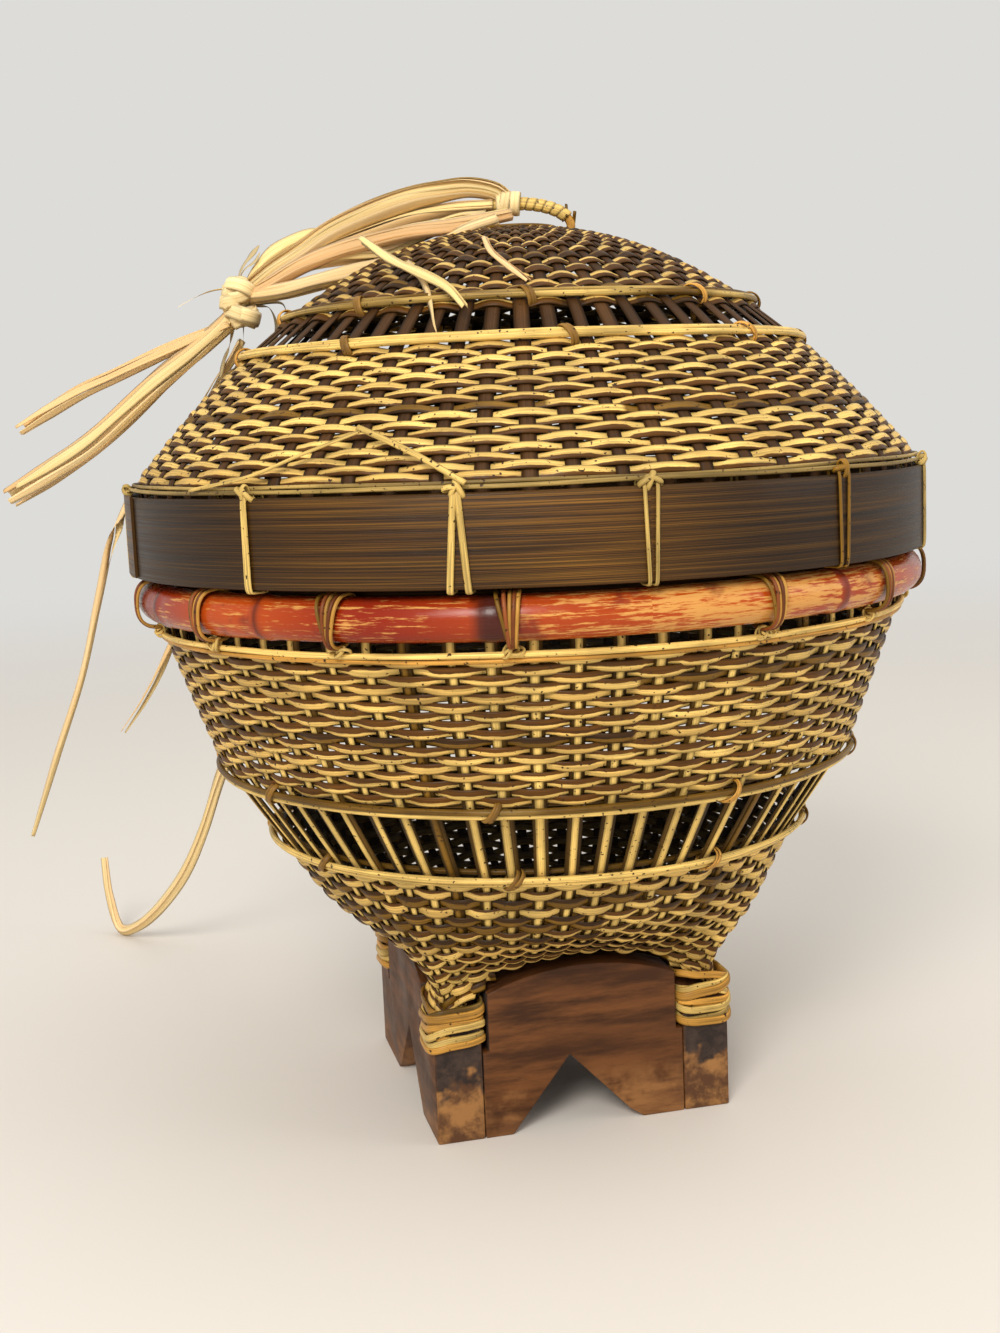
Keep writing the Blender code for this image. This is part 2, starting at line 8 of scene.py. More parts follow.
import bpy
import bmesh
import numpy as np
from mathutils import Matrix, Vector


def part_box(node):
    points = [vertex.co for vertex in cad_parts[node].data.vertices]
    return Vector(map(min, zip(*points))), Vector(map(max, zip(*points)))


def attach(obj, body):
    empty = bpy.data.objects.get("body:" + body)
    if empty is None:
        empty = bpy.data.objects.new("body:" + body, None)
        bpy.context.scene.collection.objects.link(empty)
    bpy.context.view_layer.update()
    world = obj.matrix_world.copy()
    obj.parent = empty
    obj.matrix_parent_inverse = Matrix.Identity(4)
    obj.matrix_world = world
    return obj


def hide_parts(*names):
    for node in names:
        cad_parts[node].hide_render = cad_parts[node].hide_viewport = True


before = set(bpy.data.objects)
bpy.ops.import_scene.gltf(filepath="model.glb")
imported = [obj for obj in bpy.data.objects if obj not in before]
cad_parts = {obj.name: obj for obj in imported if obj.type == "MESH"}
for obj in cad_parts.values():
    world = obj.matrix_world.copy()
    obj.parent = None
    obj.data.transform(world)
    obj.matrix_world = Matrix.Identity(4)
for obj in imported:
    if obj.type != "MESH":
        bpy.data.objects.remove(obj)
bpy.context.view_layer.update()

MM = 0.001
FULL = math.tau
UP = np.array((0.0, 0.0, 1.0))
STAKES = 64
SLOT = FULL / STAKES
SAMPLES_PER_SLOT = 8
JOINS = 5

# The way the basket is looked at, and the way the raffia hangs
VIEW_TURN = math.radians(-14.62)

# Lid: a paraboloid over a straight band
CROWN_TOP = 357 * MM
LID_BOW = 3.9
LID_OPEN = (112.5 * MM, 94 * MM)
LID_FOOT_R = 155.4 * MM
EYE_R = 18 * MM
LID_DEPTH = 1.6 * MM

# Bowl wall, from the mouth down to the square foot
WALL_LINE = [(150.3, 221.5), (150.4, 211), (149.9, 201), (142, 177), (134.8, 157), (130.5, 146),
             (119.8, 129), (110, 114.5)]
OPEN_LOW = (110 * MM, 114.5 * MM)
OPEN_HIGH = (130.5 * MM, 146 * MM)
FOOT_HALF = 60.2 * MM
BELLY_Z = 86 * MM
BELLY_BLEND = 0.58
STRAIGHT_Z = 60 * MM
EDGE_RISE_SHARE = 0.45
EDGE_CLEAR = 1.9 * MM
BOARD_PEAK = 66.5 * MM
BOARD_ARCH_RADIUS = 101.8 * MM
STAND_HALF = 60.6 * MM
CORNER_POWER = 14
BOWL_DEPTH = 2.1 * MM

# Linear colours
STRAW = np.array((0.98, 0.66, 0.19))
HONEY = np.array((0.62, 0.31, 0.055))
BARK = np.array((0.130, 0.064, 0.006))
UMBER = np.array((0.040, 0.017, 0.005))
CHESTNUT = np.array((0.078, 0.032, 0.007))
STAKE_BROWN = np.array((0.12, 0.060, 0.008))
BAND_BROWN = np.array((0.045, 0.0205, 0.0028))
RED_CANE = np.array((0.30, 0.08, 0.018))
RAFFIA = np.array((1.0, 0.82, 0.45))
ROOM_LIGHT = (0.88, 0.872, 0.845)
ROOM_STRENGTH = 0.82


# ---- arrays and shapes ----

def draws(name):
    """A stream of random numbers that belongs to one piece."""
    return np.random.default_rng([ord(letter) for letter in name])


def unit(vectors):
    return vectors / np.linalg.norm(vectors, axis=-1, keepdims=True)


def at(radius, angle, height):
    """Points at a radius from the upright axis, an angle from the front and a height."""
    radius, angle, height = np.broadcast_arrays(radius, angle, height)
    return np.stack([radius * np.sin(angle), -radius * np.cos(angle), height], axis=-1)


def directions(angle):
    """Outward, and along the rim, at an angle."""
    return at(1, angle, 0), at(1, angle + FULL / 4, 0)


def swung(first, second, angle):
    """A direction turned by an angle from the first towards the second."""
    return first * math.cos(angle) + second * math.sin(angle)


def bell(value, middle, width, power=2):
    return np.exp(-((value - middle) / width) ** power)


def round_angles(samples=STAKES * SAMPLES_PER_SLOT):
    return np.arange(samples) * FULL / samples


def facing(angle):
    """Degrees to the right of the way the basket is looked at."""
    return np.degrees((angle - VIEW_TURN + FULL / 2) % FULL - FULL / 2)


def wander(angle, rng, size, slowest=2, fastest=9):
    """A closed wavering line: a few sines of whole numbers of turns, each with its own start."""
    turns = np.arange(slowest, fastest)
    starts = rng.uniform(0, FULL, len(turns))
    shares = rng.uniform(0.4, 1, len(turns)) / np.sqrt(turns)
    waves = shares[:, None] * np.sin(turns[:, None] * angle + starts[:, None])
    return size * waves.sum(axis=0) / shares.sum()


def distances(line):
    """Distance along a line of points to each of them."""
    return np.concatenate([[0], np.cumsum(np.linalg.norm(np.diff(line, axis=0), axis=1))])


def even_steps(line, spacing):
    """The same line with its points a spacing apart."""
    reach = distances(line)
    goals = np.linspace(0, reach[-1], max(4, round(reach[-1] / spacing)) + 1)
    return np.stack([np.interp(goals, reach, line[:, k]) for k in range(line.shape[1])], axis=1)


def smooth_route(points, spacing):
    """Points a spacing apart on the Catmull-Rom curve through the given ones."""
    points = np.asarray(points, float)
    ends = np.concatenate([[2 * points[0] - points[1]], points, [2 * points[-1] - points[-2]]])
    t = np.linspace(0, 1, 16, endpoint=False)[None, :, None]
    a, b, c, d = (ends[k:len(ends) - 3 + k, None] for k in range(4))
    fine = 0.5 * (2 * b + (c - a) * t + (2 * a - 5 * b + 4 * c - d) * t ** 2
                  + (3 * b - a - 3 * c + d) * t ** 3)
    fine = np.concatenate([fine.reshape(-1, points.shape[1]), points[-1:]])
    return even_steps(fine, spacing)


def view_point(across, back, up):
    """A point in millimetres, in the frame turned with the way the basket is looked at."""
    cos, sin = math.cos(VIEW_TURN), math.sin(VIEW_TURN)
    return np.array((across * cos - back * sin, across * sin + back * cos, up)) * MM


def view_route(points, spacing):
    return smooth_route([view_point(*point) for point in points], spacing)


def split_cane(breadth, thick, count=6):
    """Outline of split cane at each step of a path, (across, proud): a bulging face, then a flat back.

    The second array is each outline point's share of the width.
    """
    t = np.linspace(-1, 1, count)
    across = np.concatenate([t / 2, [0.4, -0.4]])
    proud = thick * np.concatenate([np.sqrt(1 - 0.75 * t ** 2) - 0.5, [-0.5, -0.5]])
    proud = np.broadcast_to(proud, (len(breadth), len(proud)))
    section = np.stack([across * breadth[:, None], proud], axis=-1)
    return section, np.concatenate([(t + 1) / 2, [1, 0]])


def dark_back(tint, cols):
    """Colours for every point of a split cane: full on its face, dim at its edges, dark behind."""
    shade = np.concatenate([[0.6], np.ones(cols - 4), [0.6, 0.1, 0.1]])
    return tint[:, None] * shade[None, :, None]


def oval(width, thick, count=8):
    """Outline of round or flattened cane: an ellipse."""
    turn = np.arange(count) * FULL / count
    return np.stack([np.cos(turn) * width / 2, np.sin(turn) * thick / 2], axis=-1)


def slab(width, thick):
    """Outline of a flat strip with rounded edges, (across, proud), corner arcs in turn."""
    edge = 0.45 * thick
    turn = np.linspace(0, FULL / 4, 3)
    corners = []
    for k, (a, b) in enumerate(((1, 1), (-1, 1), (-1, -1), (1, -1))):
        swing = turn + k * FULL / 4
        centre = np.array([a * (width / 2 - edge), b * (thick / 2 - edge)])
        corners.append(centre + edge * np.stack([np.cos(swing), np.sin(swing)], axis=-1))
    return np.concatenate(corners)


def squared(turn, power):
    """Cosine and sine of a turn, pushed out towards a square as the power falls below 1."""
    return tuple(np.sign(wave) * np.abs(wave) ** power for wave in (np.cos(turn), np.sin(turn)))


def carry(path, side, out, section):
    """Grid of a section carried along a path: across times side plus proud times out at each point."""
    section = np.broadcast_to(section, (len(path),) + section.shape[-2:])
    return path[:, None] + side[:, None] * section[..., :1] + out[:, None] * section[..., 1:]


def line_frames(path, lean, closed=False):
    """Side and out directions along a path: out is the lean direction made square to the path."""
    if closed:
        ahead = unit(np.roll(path, -1, axis=0) - np.roll(path, 1, axis=0))
    else:
        ahead = unit(np.gradient(path, axis=0))
    lean = np.broadcast_to(lean, path.shape)
    out = unit(lean - ahead * (lean * ahead).sum(axis=1, keepdims=True))
    return np.cross(out, ahead), out


class Bundle:
    """Gathers strips into one piece, each a closed skin over a grid of points (along, round)."""

    def __init__(self):
        self.points = []
        self.tints = []
        self.stains = []
        self.corners = []
        self.sizes = []
        self.maps = []
        self.count = 0

    def add(self, grid, tint, stain=-1.0, closed=False, across=None):
        """tint is a colour and stain the brown share of the width, each for the whole strip or for
        every step along it. across is the width's map coordinate at each point of the section."""
        rows, cols = grid.shape[:2]
        i = np.arange(rows if closed else rows - 1)[:, None]
        j = np.arange(cols)[None, :]
        i, j = np.broadcast_arrays(i, j)
        nexti = (i + 1) % rows
        nextj = (j + 1) % cols
        quads = np.stack([i * cols + j, i * cols + nextj, nexti * cols + nextj, nexti * cols + j], -1)
        middle = grid.mean(axis=1)
        steps = np.linalg.norm(np.roll(middle, -1, axis=0) - middle, axis=1)
        along = np.concatenate([[0], np.cumsum(steps)])
        if across is None:
            left, right = j / cols, (j + 1) / cols
        else:
            left, right = across[j], across[nextj]
        spots = np.stack([np.stack([along[i], along[i], along[i + 1], along[i + 1]], -1),
                          np.stack([left, right, right, left], -1)], axis=-1)
        flat = grid.reshape(-1, 3)
        a, b, d = flat[quads[..., 0]], flat[quads[..., 1]], flat[quads[..., 3]]
        outwards = (np.cross(b - a, d - a) * ((b + d) / 2 - middle[i])).sum() >= 0
        if not outwards:
            quads = quads[..., ::-1]
            spots = spots[..., ::-1, :]
        self.corners.append(quads.reshape(-1) + self.count)
        self.sizes.append(np.full(quads.size // 4, 4))
        self.maps.append(spots.reshape(-1, 2))
        if not closed:
            ring = np.arange(cols)
            first, last = (ring[::-1], ring) if outwards else (ring, ring[::-1])
            for cap in (first, last + (rows - 1) * cols):
                self.corners.append(cap + self.count)
                self.sizes.append(np.array([cols]))
                self.maps.append(np.stack([np.zeros(cols), np.full(cols, 0.5)], axis=-1))
        self.points.append(flat)
        tint = np.asarray(tint, float)
        if tint.ndim == 1:
            tint = np.broadcast_to(tint, (rows, 3))
        if tint.ndim == 2:
            tint = np.broadcast_to(tint[:, None], (rows, cols, 3))
        stain = np.broadcast_to(np.asarray(stain, float).reshape(-1, 1), (rows, cols))
        self.tints.append(tint.reshape(-1, 3))
        self.stains.append(stain.reshape(-1))
        self.count += rows * cols

    def strand(self, path, lean, section, tint, closed=False):
        """Adds a section carried along a path, its proud side turned towards lean."""
        side, out = line_frames(path, lean, closed)
        self.add(carry(path, side, out, section), tint, closed=closed)

    def loop(self, centre, first, second, width, thick, tint, power=1.0, samples=28):
        """Adds a closed turn of flat cane: an ellipse on two half-axes, squarer as power falls below 1."""
        c, s = squared(round_angles(samples), power)
        path = centre + c[:, None] * first + s[:, None] * second
        self.strand(path, path - centre, oval(width, thick, 6), tint, True)

    def piece(self, name, finish, slot, body, replaced=(), sharp=None):
        mesh = bpy.data.meshes.new(name)
        points = np.concatenate(self.points)
        corners = np.concatenate(self.corners)
        sizes = np.concatenate(self.sizes)
        mesh.vertices.add(len(points))
        mesh.vertices.foreach_set("co", points.ravel())
        mesh.loops.add(len(corners))
        mesh.loops.foreach_set("vertex_index", corners)
        mesh.polygons.add(len(sizes))
        mesh.polygons.foreach_set("loop_start", np.concatenate([[0], np.cumsum(sizes)[:-1]]))
        layer = mesh.uv_layers.new(name="cane_map")
        layer.data.foreach_set("uv", np.concatenate(self.maps).ravel())
        tints = np.concatenate(self.tints)
        colour = mesh.color_attributes.new("tint", "FLOAT_COLOR", "POINT")
        colour.data.foreach_set("color", np.hstack([tints, np.ones((len(tints), 1))]).ravel())
        stain = mesh.attributes.new("stain", "FLOAT", "POINT")
        stain.data.foreach_set("value", np.concatenate(self.stains))
        mesh.update(calc_edges=True)
        mesh.validate()
        mesh.shade_smooth()
        if sharp is not None:
            mesh.set_sharp_from_angle(angle=math.radians(sharp))
        return settle(bpy.data.objects.new(name, mesh), finish, body, replaced)


def settle(obj, finish, body, replaced=()):
    """Puts a finished object into the scene, on its body and in its finish."""
    bpy.context.scene.collection.objects.link(obj)
    obj.data.materials.clear()
    obj.data.materials.append(finish)
    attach(obj, body)
    if replaced:
        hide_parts(*replaced)
    return obj


# ---- finishes ----

class Finish:
    """A material being put together. Each method that adds a node gives back its output."""

    def __init__(self, name, roughness, coat=0.0):
        self.material = bpy.data.materials.new(name)
        self.material.use_nodes = True
        self.tree = self.material.node_tree
        self.shader = self.tree.nodes["Principled BSDF"]
        for socket, value in (("Roughness", roughness), ("Coat Weight", coat), ("Coat Roughness", 0.18),
                              ("Specular IOR Level", 0.18)):
            self.give(socket, value)

    def give(self, socket, value, taker=None):
        """Sets a socket of the shader, or of another node, to a value or links another socket to it."""
        socket = (self.shader if taker is None else taker).inputs[socket]
        if isinstance(value, bpy.types.NodeSocket):
            self.tree.links.new(value, socket)
        else:
            socket.default_value = value

    def node(self, kind, inputs=(), **settings):
        """Adds a node: settings are its own options, inputs are (socket, value or another socket)."""
        made = self.tree.nodes.new("ShaderNode" + kind)
        for key, value in settings.items():
            setattr(made, key, value)
        for socket, value in inputs:
            self.give(socket, value, made)
        return made.outputs

    def attribute(self, name, output="Fac"):
        return self.node("Attribute", attribute_name=name)[output]

    def place(self):
        return self.node("TexCoord")["Object"]

    def stretched(self, vector, scale):
        return self.node("Mapping", [("Vector", vector), ("Scale", scale)])[0]

    def noise(self, vector, scale, detail=3.0, roughness=0.55):
        return self.node("TexNoise", [("Vector", vector), ("Scale", scale), ("Detail", detail),
                                      ("Roughness", roughness)])[0]

    def fibres(self, along, across, detail=3.0, roughness=0.55):
        """Noise on the strips' own map, in cells per metre along them and per width across."""
        spot = self.node("UVMap", uv_map="cane_map")[0]
        return self.noise(self.stretched(spot, (along, across, 1)), 1.0, detail, roughness)

    def ranged(self, value, low, high, to_low=0.0, to_high=1.0):
        return self.node("MapRange", [("Value", value), ("From Min", low), ("From Max", high),
                                      ("To Min", to_low), ("To Max", to_high)],
                         interpolation_type="SMOOTHSTEP")[0]

    def mixed(self, share, a, b, blend="MIX"):
        a, b = (colour if isinstance(colour, bpy.types.NodeSocket) else (*colour, 1.0) for colour in (a, b))
        return self.node("Mix", [(0, share), (6, a), (7, b)], data_type="RGBA", blend_type=blend)[2]

    def dimmed(self, colour, shade):
        grey = self.node("CombineXYZ", [(0, shade), (1, shade), (2, shade)])[0]
        return self.mixed(1.0, colour, grey, "MULTIPLY")

    def maths(self, operation, a, b=0.0):
        return self.node("Math", [(0, a), (1, b)], operation=operation)[0]

    def nudged(self, value, wobble, size):
        """A value moved to and fro by a noise around 0.5."""
        return self.maths("ADD", value, self.maths("MULTIPLY", self.maths("SUBTRACT", wobble, 0.5), size))

    def bump(self, height, distance, strength):
        made = self.node("Bump", [("Height", height), ("Distance", distance), ("Strength", strength)])
        self.give("Normal", made[0])


def cane_finish(name, roughness=0.45, fibre=0.5, coat=0.05):
    """Split cane: pale skin over brown bark along one edge, with fine fibres and small dark specks."""
    look = Finish(name, roughness, coat)
    tint = look.attribute("tint", "Color")
    across = look.node("SeparateXYZ", [(0, look.node("UVMap", uv_map="cane_map")[0])])[1]
    line = look.nudged(across, look.fibres(160, 2.5), 0.35)
    skin = look.ranged(look.maths("SUBTRACT", line, look.attribute("stain")), -0.05, 0.05)
    fibres = look.fibres(35, 14, 4)
    specks = look.ranged(look.noise(look.place(), 620.0, 1), 0.66, 0.74)
    bark = look.mixed(0.8, BARK, tint, "MULTIPLY")
    colour = look.mixed(skin, bark, tint)
    colour = look.dimmed(colour, look.ranged(fibres, 0.3, 0.72, 1 - fibre, 1 + 0.35 * fibre))
    colour = look.dimmed(colour, look.ranged(look.noise(look.place(), 55.0), 0.35, 0.62, 0.82, 1.06))
    look.give("Base Color", look.mixed(specks, colour, UMBER))
    look.bump(fibres, 0.25 * MM, 0.5)
    return look.material


def band_finish(name):
    """Dark smoked bamboo: long straight fibres, streaked brown on brown, with a dull sheen."""
    look = Finish(name, 0.4, 0.1)
    tint = look.attribute("tint", "Color")
    fine = look.fibres(7, 800, 4, 0.7)
    broad = look.fibres(6, 230, 4)
    light = look.mixed(1.0, tint, (3.6, 3.4, 2.8), "MULTIPLY")
    colour = look.mixed(look.ranged(fine, 0.42, 0.62), tint, light)
    dark = look.mixed(1.0, colour, (0.5, 0.45, 0.42), "MULTIPLY")
    look.give("Base Color", look.mixed(look.ranged(broad, 0.42, 0.62), dark, colour))
    look.give("Roughness", look.ranged(fine, 0.3, 0.7, 0.32, 0.55))
    look.bump(fine, 0.35 * MM, 0.6)
    return look.material


def pole_finish(name):
    """Lacquered cane pole: red and orange flooded over pale gold, worn in streaks along it."""
    look = Finish(name, 0.24, 0.14)
    worn = look.nudged(look.fibres(38, 13, 5, 0.7), look.fibres(150, 30, 4, 0.7), 0.6)
    share = look.ranged(look.maths("ADD", worn, look.attribute("stain")), 0.97, 1.1)
    colour = look.mixed(share, look.attribute("tint", "Color"), (0.62, 0.29, 0.07))
    smoky = look.ranged(look.noise(look.place(), 60.0, 4), 0.56, 0.72, 0.0, 0.75)
    colour = look.mixed(smoky, colour, (0.16, 0.018, 0.008))
    scorch = look.ranged(look.fibres(70, 7, 5, 0.75), 0.66, 0.70)
    look.give("Base Color", look.mixed(scorch, colour, (0.05, 0.016, 0.01)))
    look.give("Roughness", look.ranged(worn, 0.35, 0.7, 0.16, 0.36))
    look.bump(worn, 0.4 * MM, 0.4)
    return look.material


def raffia_finish(name):
    """Dry palm ribbon: pale straw with long fine fibres and faint darker creases."""
    look = Finish(name, 0.62)
    tint = look.attribute("tint", "Color")
    fibres = look.fibres(14, 22, 5, 0.7)
    creases = look.ranged(look.fibres(9, 5, 2), 0.6, 0.75, 0.0, 0.25)
    colour = look.mixed(look.ranged(fibres, 0.32, 0.7), (0.66, 0.50, 0.27), (1.0, 1.0, 1.0))
    colour = look.mixed(0.75, tint, look.mixed(1.0, tint, colour, "MULTIPLY"))
    look.give("Base Color", look.mixed(creases, colour, (0.55, 0.34, 0.15)))
    look.give("Sheen Weight", 0.15)
    look.bump(fibres, 0.15 * MM, 0.35)
    return look.material


def wood_finish(name, along):
    """Oiled red-brown board: grain along one axis, scorched end grain, and worn orange edges low down."""
    look = Finish(name, 0.5)
    place = look.place()
    scale = [1.0, 1.0, 1.0]
    scale[along] = 0.16
    long_place = look.stretched(place, scale)
    grain = look.noise(long_place, 190.0, 6, 0.62)
    clouds = look.noise(place, 38.0, 4, 0.65)
    height = look.node("SeparateXYZ", [(0, place)])[2]

    def low_down(rise, start, end):
        edge = look.maths("ADD", height, look.maths("MULTIPLY", clouds, rise))
        return look.ranged(edge, start, end)

    colour = look.mixed(look.ranged(grain, 0.32, 0.7), (0.040, 0.0145, 0.0048), (0.15, 0.054, 0.0155))
    shadow = look.ranged(look.noise(long_place, 45.0, 4), 0.4, 0.66, 0.0, 0.6)
    colour = look.mixed(shadow, colour, (0.068, 0.024, 0.008))
    rubbed = look.maths("MULTIPLY", look.attribute("wear"), look.ranged(clouds, 0.3, 0.6))
    worn = look.maths("MAXIMUM", low_down(-0.055, -0.012, -0.024), look.ranged(rubbed, 0.25, 0.75))
    worn_wood = look.mixed(look.ranged(grain, 0.35, 0.65), (0.15, 0.060, 0.022), (0.30, 0.135, 0.045))
    colour = look.mixed(look.maths("MULTIPLY", worn, 0.85), colour, worn_wood)
    face = look.node("SeparateXYZ", [(0, look.node("NewGeometry")["True Normal"])])
    end = look.ranged(look.maths("ABSOLUTE", face[along]), 0.9, 0.97)
    scorch = look.mixed(look.ranged(grain, 0.3, 0.7), (0.022, 0.015, 0.013), (0.06, 0.038, 0.028))
    patches = look.ranged(look.noise(place, 95.0, 4, 0.6), 0.4, 0.62)
    pale_end = look.mixed(patches, (0.10, 0.042, 0.018), (0.34, 0.16, 0.052))
    scorch = look.mixed(look.maths("MULTIPLY", low_down(-0.06, -0.004, -0.01), 0.92), scorch, pale_end)
    look.give("Base Color", look.mixed(end, colour, scorch))
    look.give("Roughness", look.ranged(clouds, 0.3, 0.7, 0.42, 0.62))
    look.bump(grain, 0.5 * MM, 0.5)
    return look.material


def floor_finish(name, colour):
    """Pale paint near the object that passes, with distance, into the light of the room behind it."""
    look = Finish(name, 0.7)
    look.give("Emission Color", (*ROOM_LIGHT, 1.0))
    reach = look.node("VectorMath", [(0, look.place())], operation="LENGTH")["Value"]
    far = look.ranged(reach, 0.7, 2.6)
    look.give("Base Color", look.mixed(far, colour, (0.0, 0.0, 0.0)))
    look.give("Specular IOR Level", look.ranged(far, 0.0, 1.0, 0.18, 0.0))
    look.give("Emission Strength", look.maths("MULTIPLY", far, ROOM_STRENGTH))
    return look.material


# ---- surfaces of the basket ----

def lid_height(radius):
    return CROWN_TOP - LID_BOW * radius ** 2


def lid_line():
    """Radius and height from the tuck inside the band up over the lid to its middle."""
    tuck = np.array([(155.9, 244), (156.5, 251), (156.6, 258)]) * MM
    radii = np.linspace(154.6 * MM, 6 * MM, 26)
    return even_steps(smooth_route(np.concatenate([tuck, np.stack([radii, lid_height(radii)], -1)]), MM), MM)


class Wall:
    """A turned wall: points by angle and by distance along its line of radius and height."""

    def __init__(self, line):
        self.line = line
        self.reach = distances(line)

    def __call__(self, angle, reach):
        return at(self.radius(reach), angle, np.interp(reach, self.reach, self.line[:, 1]))

    def radius(self, reach):
        return np.interp(reach, self.reach, self.line[:, 0])

    def where(self, column, value):
        """Distance along the line at which its radius (0) or height (1) has this value."""
        order = np.argsort(self.line[:, column])
        return float(np.interp(value, self.line[order, column], self.reach[order]))


lid_wall = Wall(lid_line())
bowl_wall = Wall(even_steps(smooth_route(np.array(WALL_LINE) * MM, MM), MM))


def rounded_square(half, angle):
    """Distance to the side of a square with softened corners: a superellipse."""
    power = CORNER_POWER
    return half * (np.abs(np.sin(angle)) ** power + np.abs(np.cos(angle)) ** power) ** (-1 / power)


def edge_height(angle):
    """The bowl's lower edge follows the arched boards."""
    least = np.minimum(np.abs(np.sin(angle)), np.abs(np.cos(angle)))
    most = np.maximum(np.abs(np.sin(angle)), np.abs(np.cos(angle)))
    across = np.minimum(STAND_HALF * least / most, STAND_HALF)
    return BOARD_PEAK - BOARD_ARCH_RADIUS + np.sqrt(BOARD_ARCH_RADIUS ** 2 - across ** 2) + EDGE_CLEAR


def foot_wall(angle, step):
    """The wall from its round top (step 0) by the belly (1) to the square edge (2, and 3 at corners).

    Stakes spread evenly along the sides as they go down. Rows of radius and height are joined by
    Catmull-Rom curves.
    """
    angle, step = np.broadcast_arrays(np.asarray(angle, float), np.asarray(step, float))
    quarter = (angle + FULL / 8) % (FULL / 4) - FULL / 8
    even = np.arctan(quarter / (FULL / 8))
    angle = angle + np.clip(step / 2, 0, 1) * (even - quarter)
    square = rounded_square(FOOT_HALF, angle)
    edge = edge_height(angle)
    straight = STRAIGHT_Z + (edge - edge_height(FULL / 8)) * EDGE_RISE_SHARE
    straight = np.maximum(straight, edge + 1.5 * MM)
    one = np.ones_like(angle)
    belly = square + BELLY_BLEND * (OPEN_LOW[0] - square)
    radii = np.stack([OPEN_HIGH[0] * one, OPEN_LOW[0] * one, belly, square, square, square])
    heights = np.stack([OPEN_HIGH[1] * one, OPEN_LOW[1] * one, BELLY_Z * one, straight, edge,
                        2 * edge - straight])
    k = np.clip(np.floor(step), 0, 2).astype(int)
    t = step - k
    weights = 0.5 * np.stack([-t + 2 * t ** 2 - t ** 3, 2 - 5 * t ** 2 + 3 * t ** 3,
                              t + 4 * t ** 2 - 3 * t ** 3, -t ** 2 + t ** 3])
    picks = k[None] + np.arange(4).reshape((4,) + (1,) * k.ndim)
    radius, height = ((np.take_along_axis(rows, picks, 0) * weights).sum(0) for rows in (radii, heights))
    return at(radius, angle, height)


def surface_frames(wall, angle, reach, small):
    """Point, direction away from the rim and outward normal on a wall."""
    point = wall(angle, reach)
    away = unit(wall(angle, reach + small) - wall(angle, reach - small))
    along = unit(wall(angle + 0.002, reach) - wall(angle - 0.002, reach))
    out = unit(np.cross(along, away))
    flip = np.sign((out * at(1, np.arctan2(point[..., 0], -point[..., 1]), 0)).sum(-1, keepdims=True))
    return point, away, out * flip


# ---- weave ----

def cane_lengths(angle, rng, low, high):
    """One value between two for each length of cane in a row; lengths join behind a stake."""
    joints = np.sort(rng.integers(0, STAKES, JOINS)) * SLOT
    return rng.uniform(low, high, JOINS + 1)[np.searchsorted(joints, angle)]


def weaver(bundle, wall, reach, small, parity, rng, strip, look, span=None):
    """One weaver: split cane in front of every other stake and behind the rest.

    Its depth below the wall's surface is a middle depth less the swing times a cosine that is 1 at the
    stakes it covers and -1 at those it passes behind; the next row takes the other stakes. strip is
    (width, thickness, swing) and look is (middle depth, dark share, stain range, tone).
    """
    width, thick, swing = strip
    middle, dark, bare, tone = look
    angle = round_angles() if span is None else np.arange(*span, SLOT / SAMPLES_PER_SLOT)
    over = np.cos(np.pi * (angle / SLOT - 0.5 + parity))
    over = np.sign(over) * np.abs(over) ** np.where(over > 0, 0.75, 1.0)
    sway = wander(angle, rng, 0.4 * small, 5, 24)
    point, away, out = surface_frames(wall, angle, reach + sway, small)
    path = point - out * (middle - swing * over)[:, None]
    breadth = width * (0.94 + 0.06 * over) * cane_lengths(angle, rng, 0.92, 1.1)
    section, across = split_cane(breadth, thick)
    smoky = cane_lengths(angle, rng, 0, 1)[:, None] < dark
    shade = cane_lengths(angle, rng, 0.8, 1.08)[:, None]
    warmth = cane_lengths(angle, rng, 0, 0.4)[:, None]
    tint = np.where(smoky, BARK * (0.7 + shade), (tone * (1 - warmth) + HONEY * warmth) * shade)
    # Painted shade: each strip is darkened where it dips behind a stake and kept full where it passes over
    # one.
    tint = tint * (0.45 + 0.55 * np.clip(1.55 + over, 0, 1))[:, None]
    stain = cane_lengths(angle, rng, *bare) + wander(angle, rng, 0.12, 6, 30)
    bundle.add(carry(path, away, out, section), dark_back(tint, len(across)), stain, span is None, across)


def stake_strip(bundle, path, out, width, thick, tint):
    """A flat stake along a path, its face towards out."""
    side = np.cross(out, unit(np.gradient(path, axis=0)))
    section, across = split_cane(width, thick, 4)
    tint = dark_back(np.broadcast_to(tint, path.shape), len(across))
    bundle.add(carry(path, side, out, section), tint, across=across)


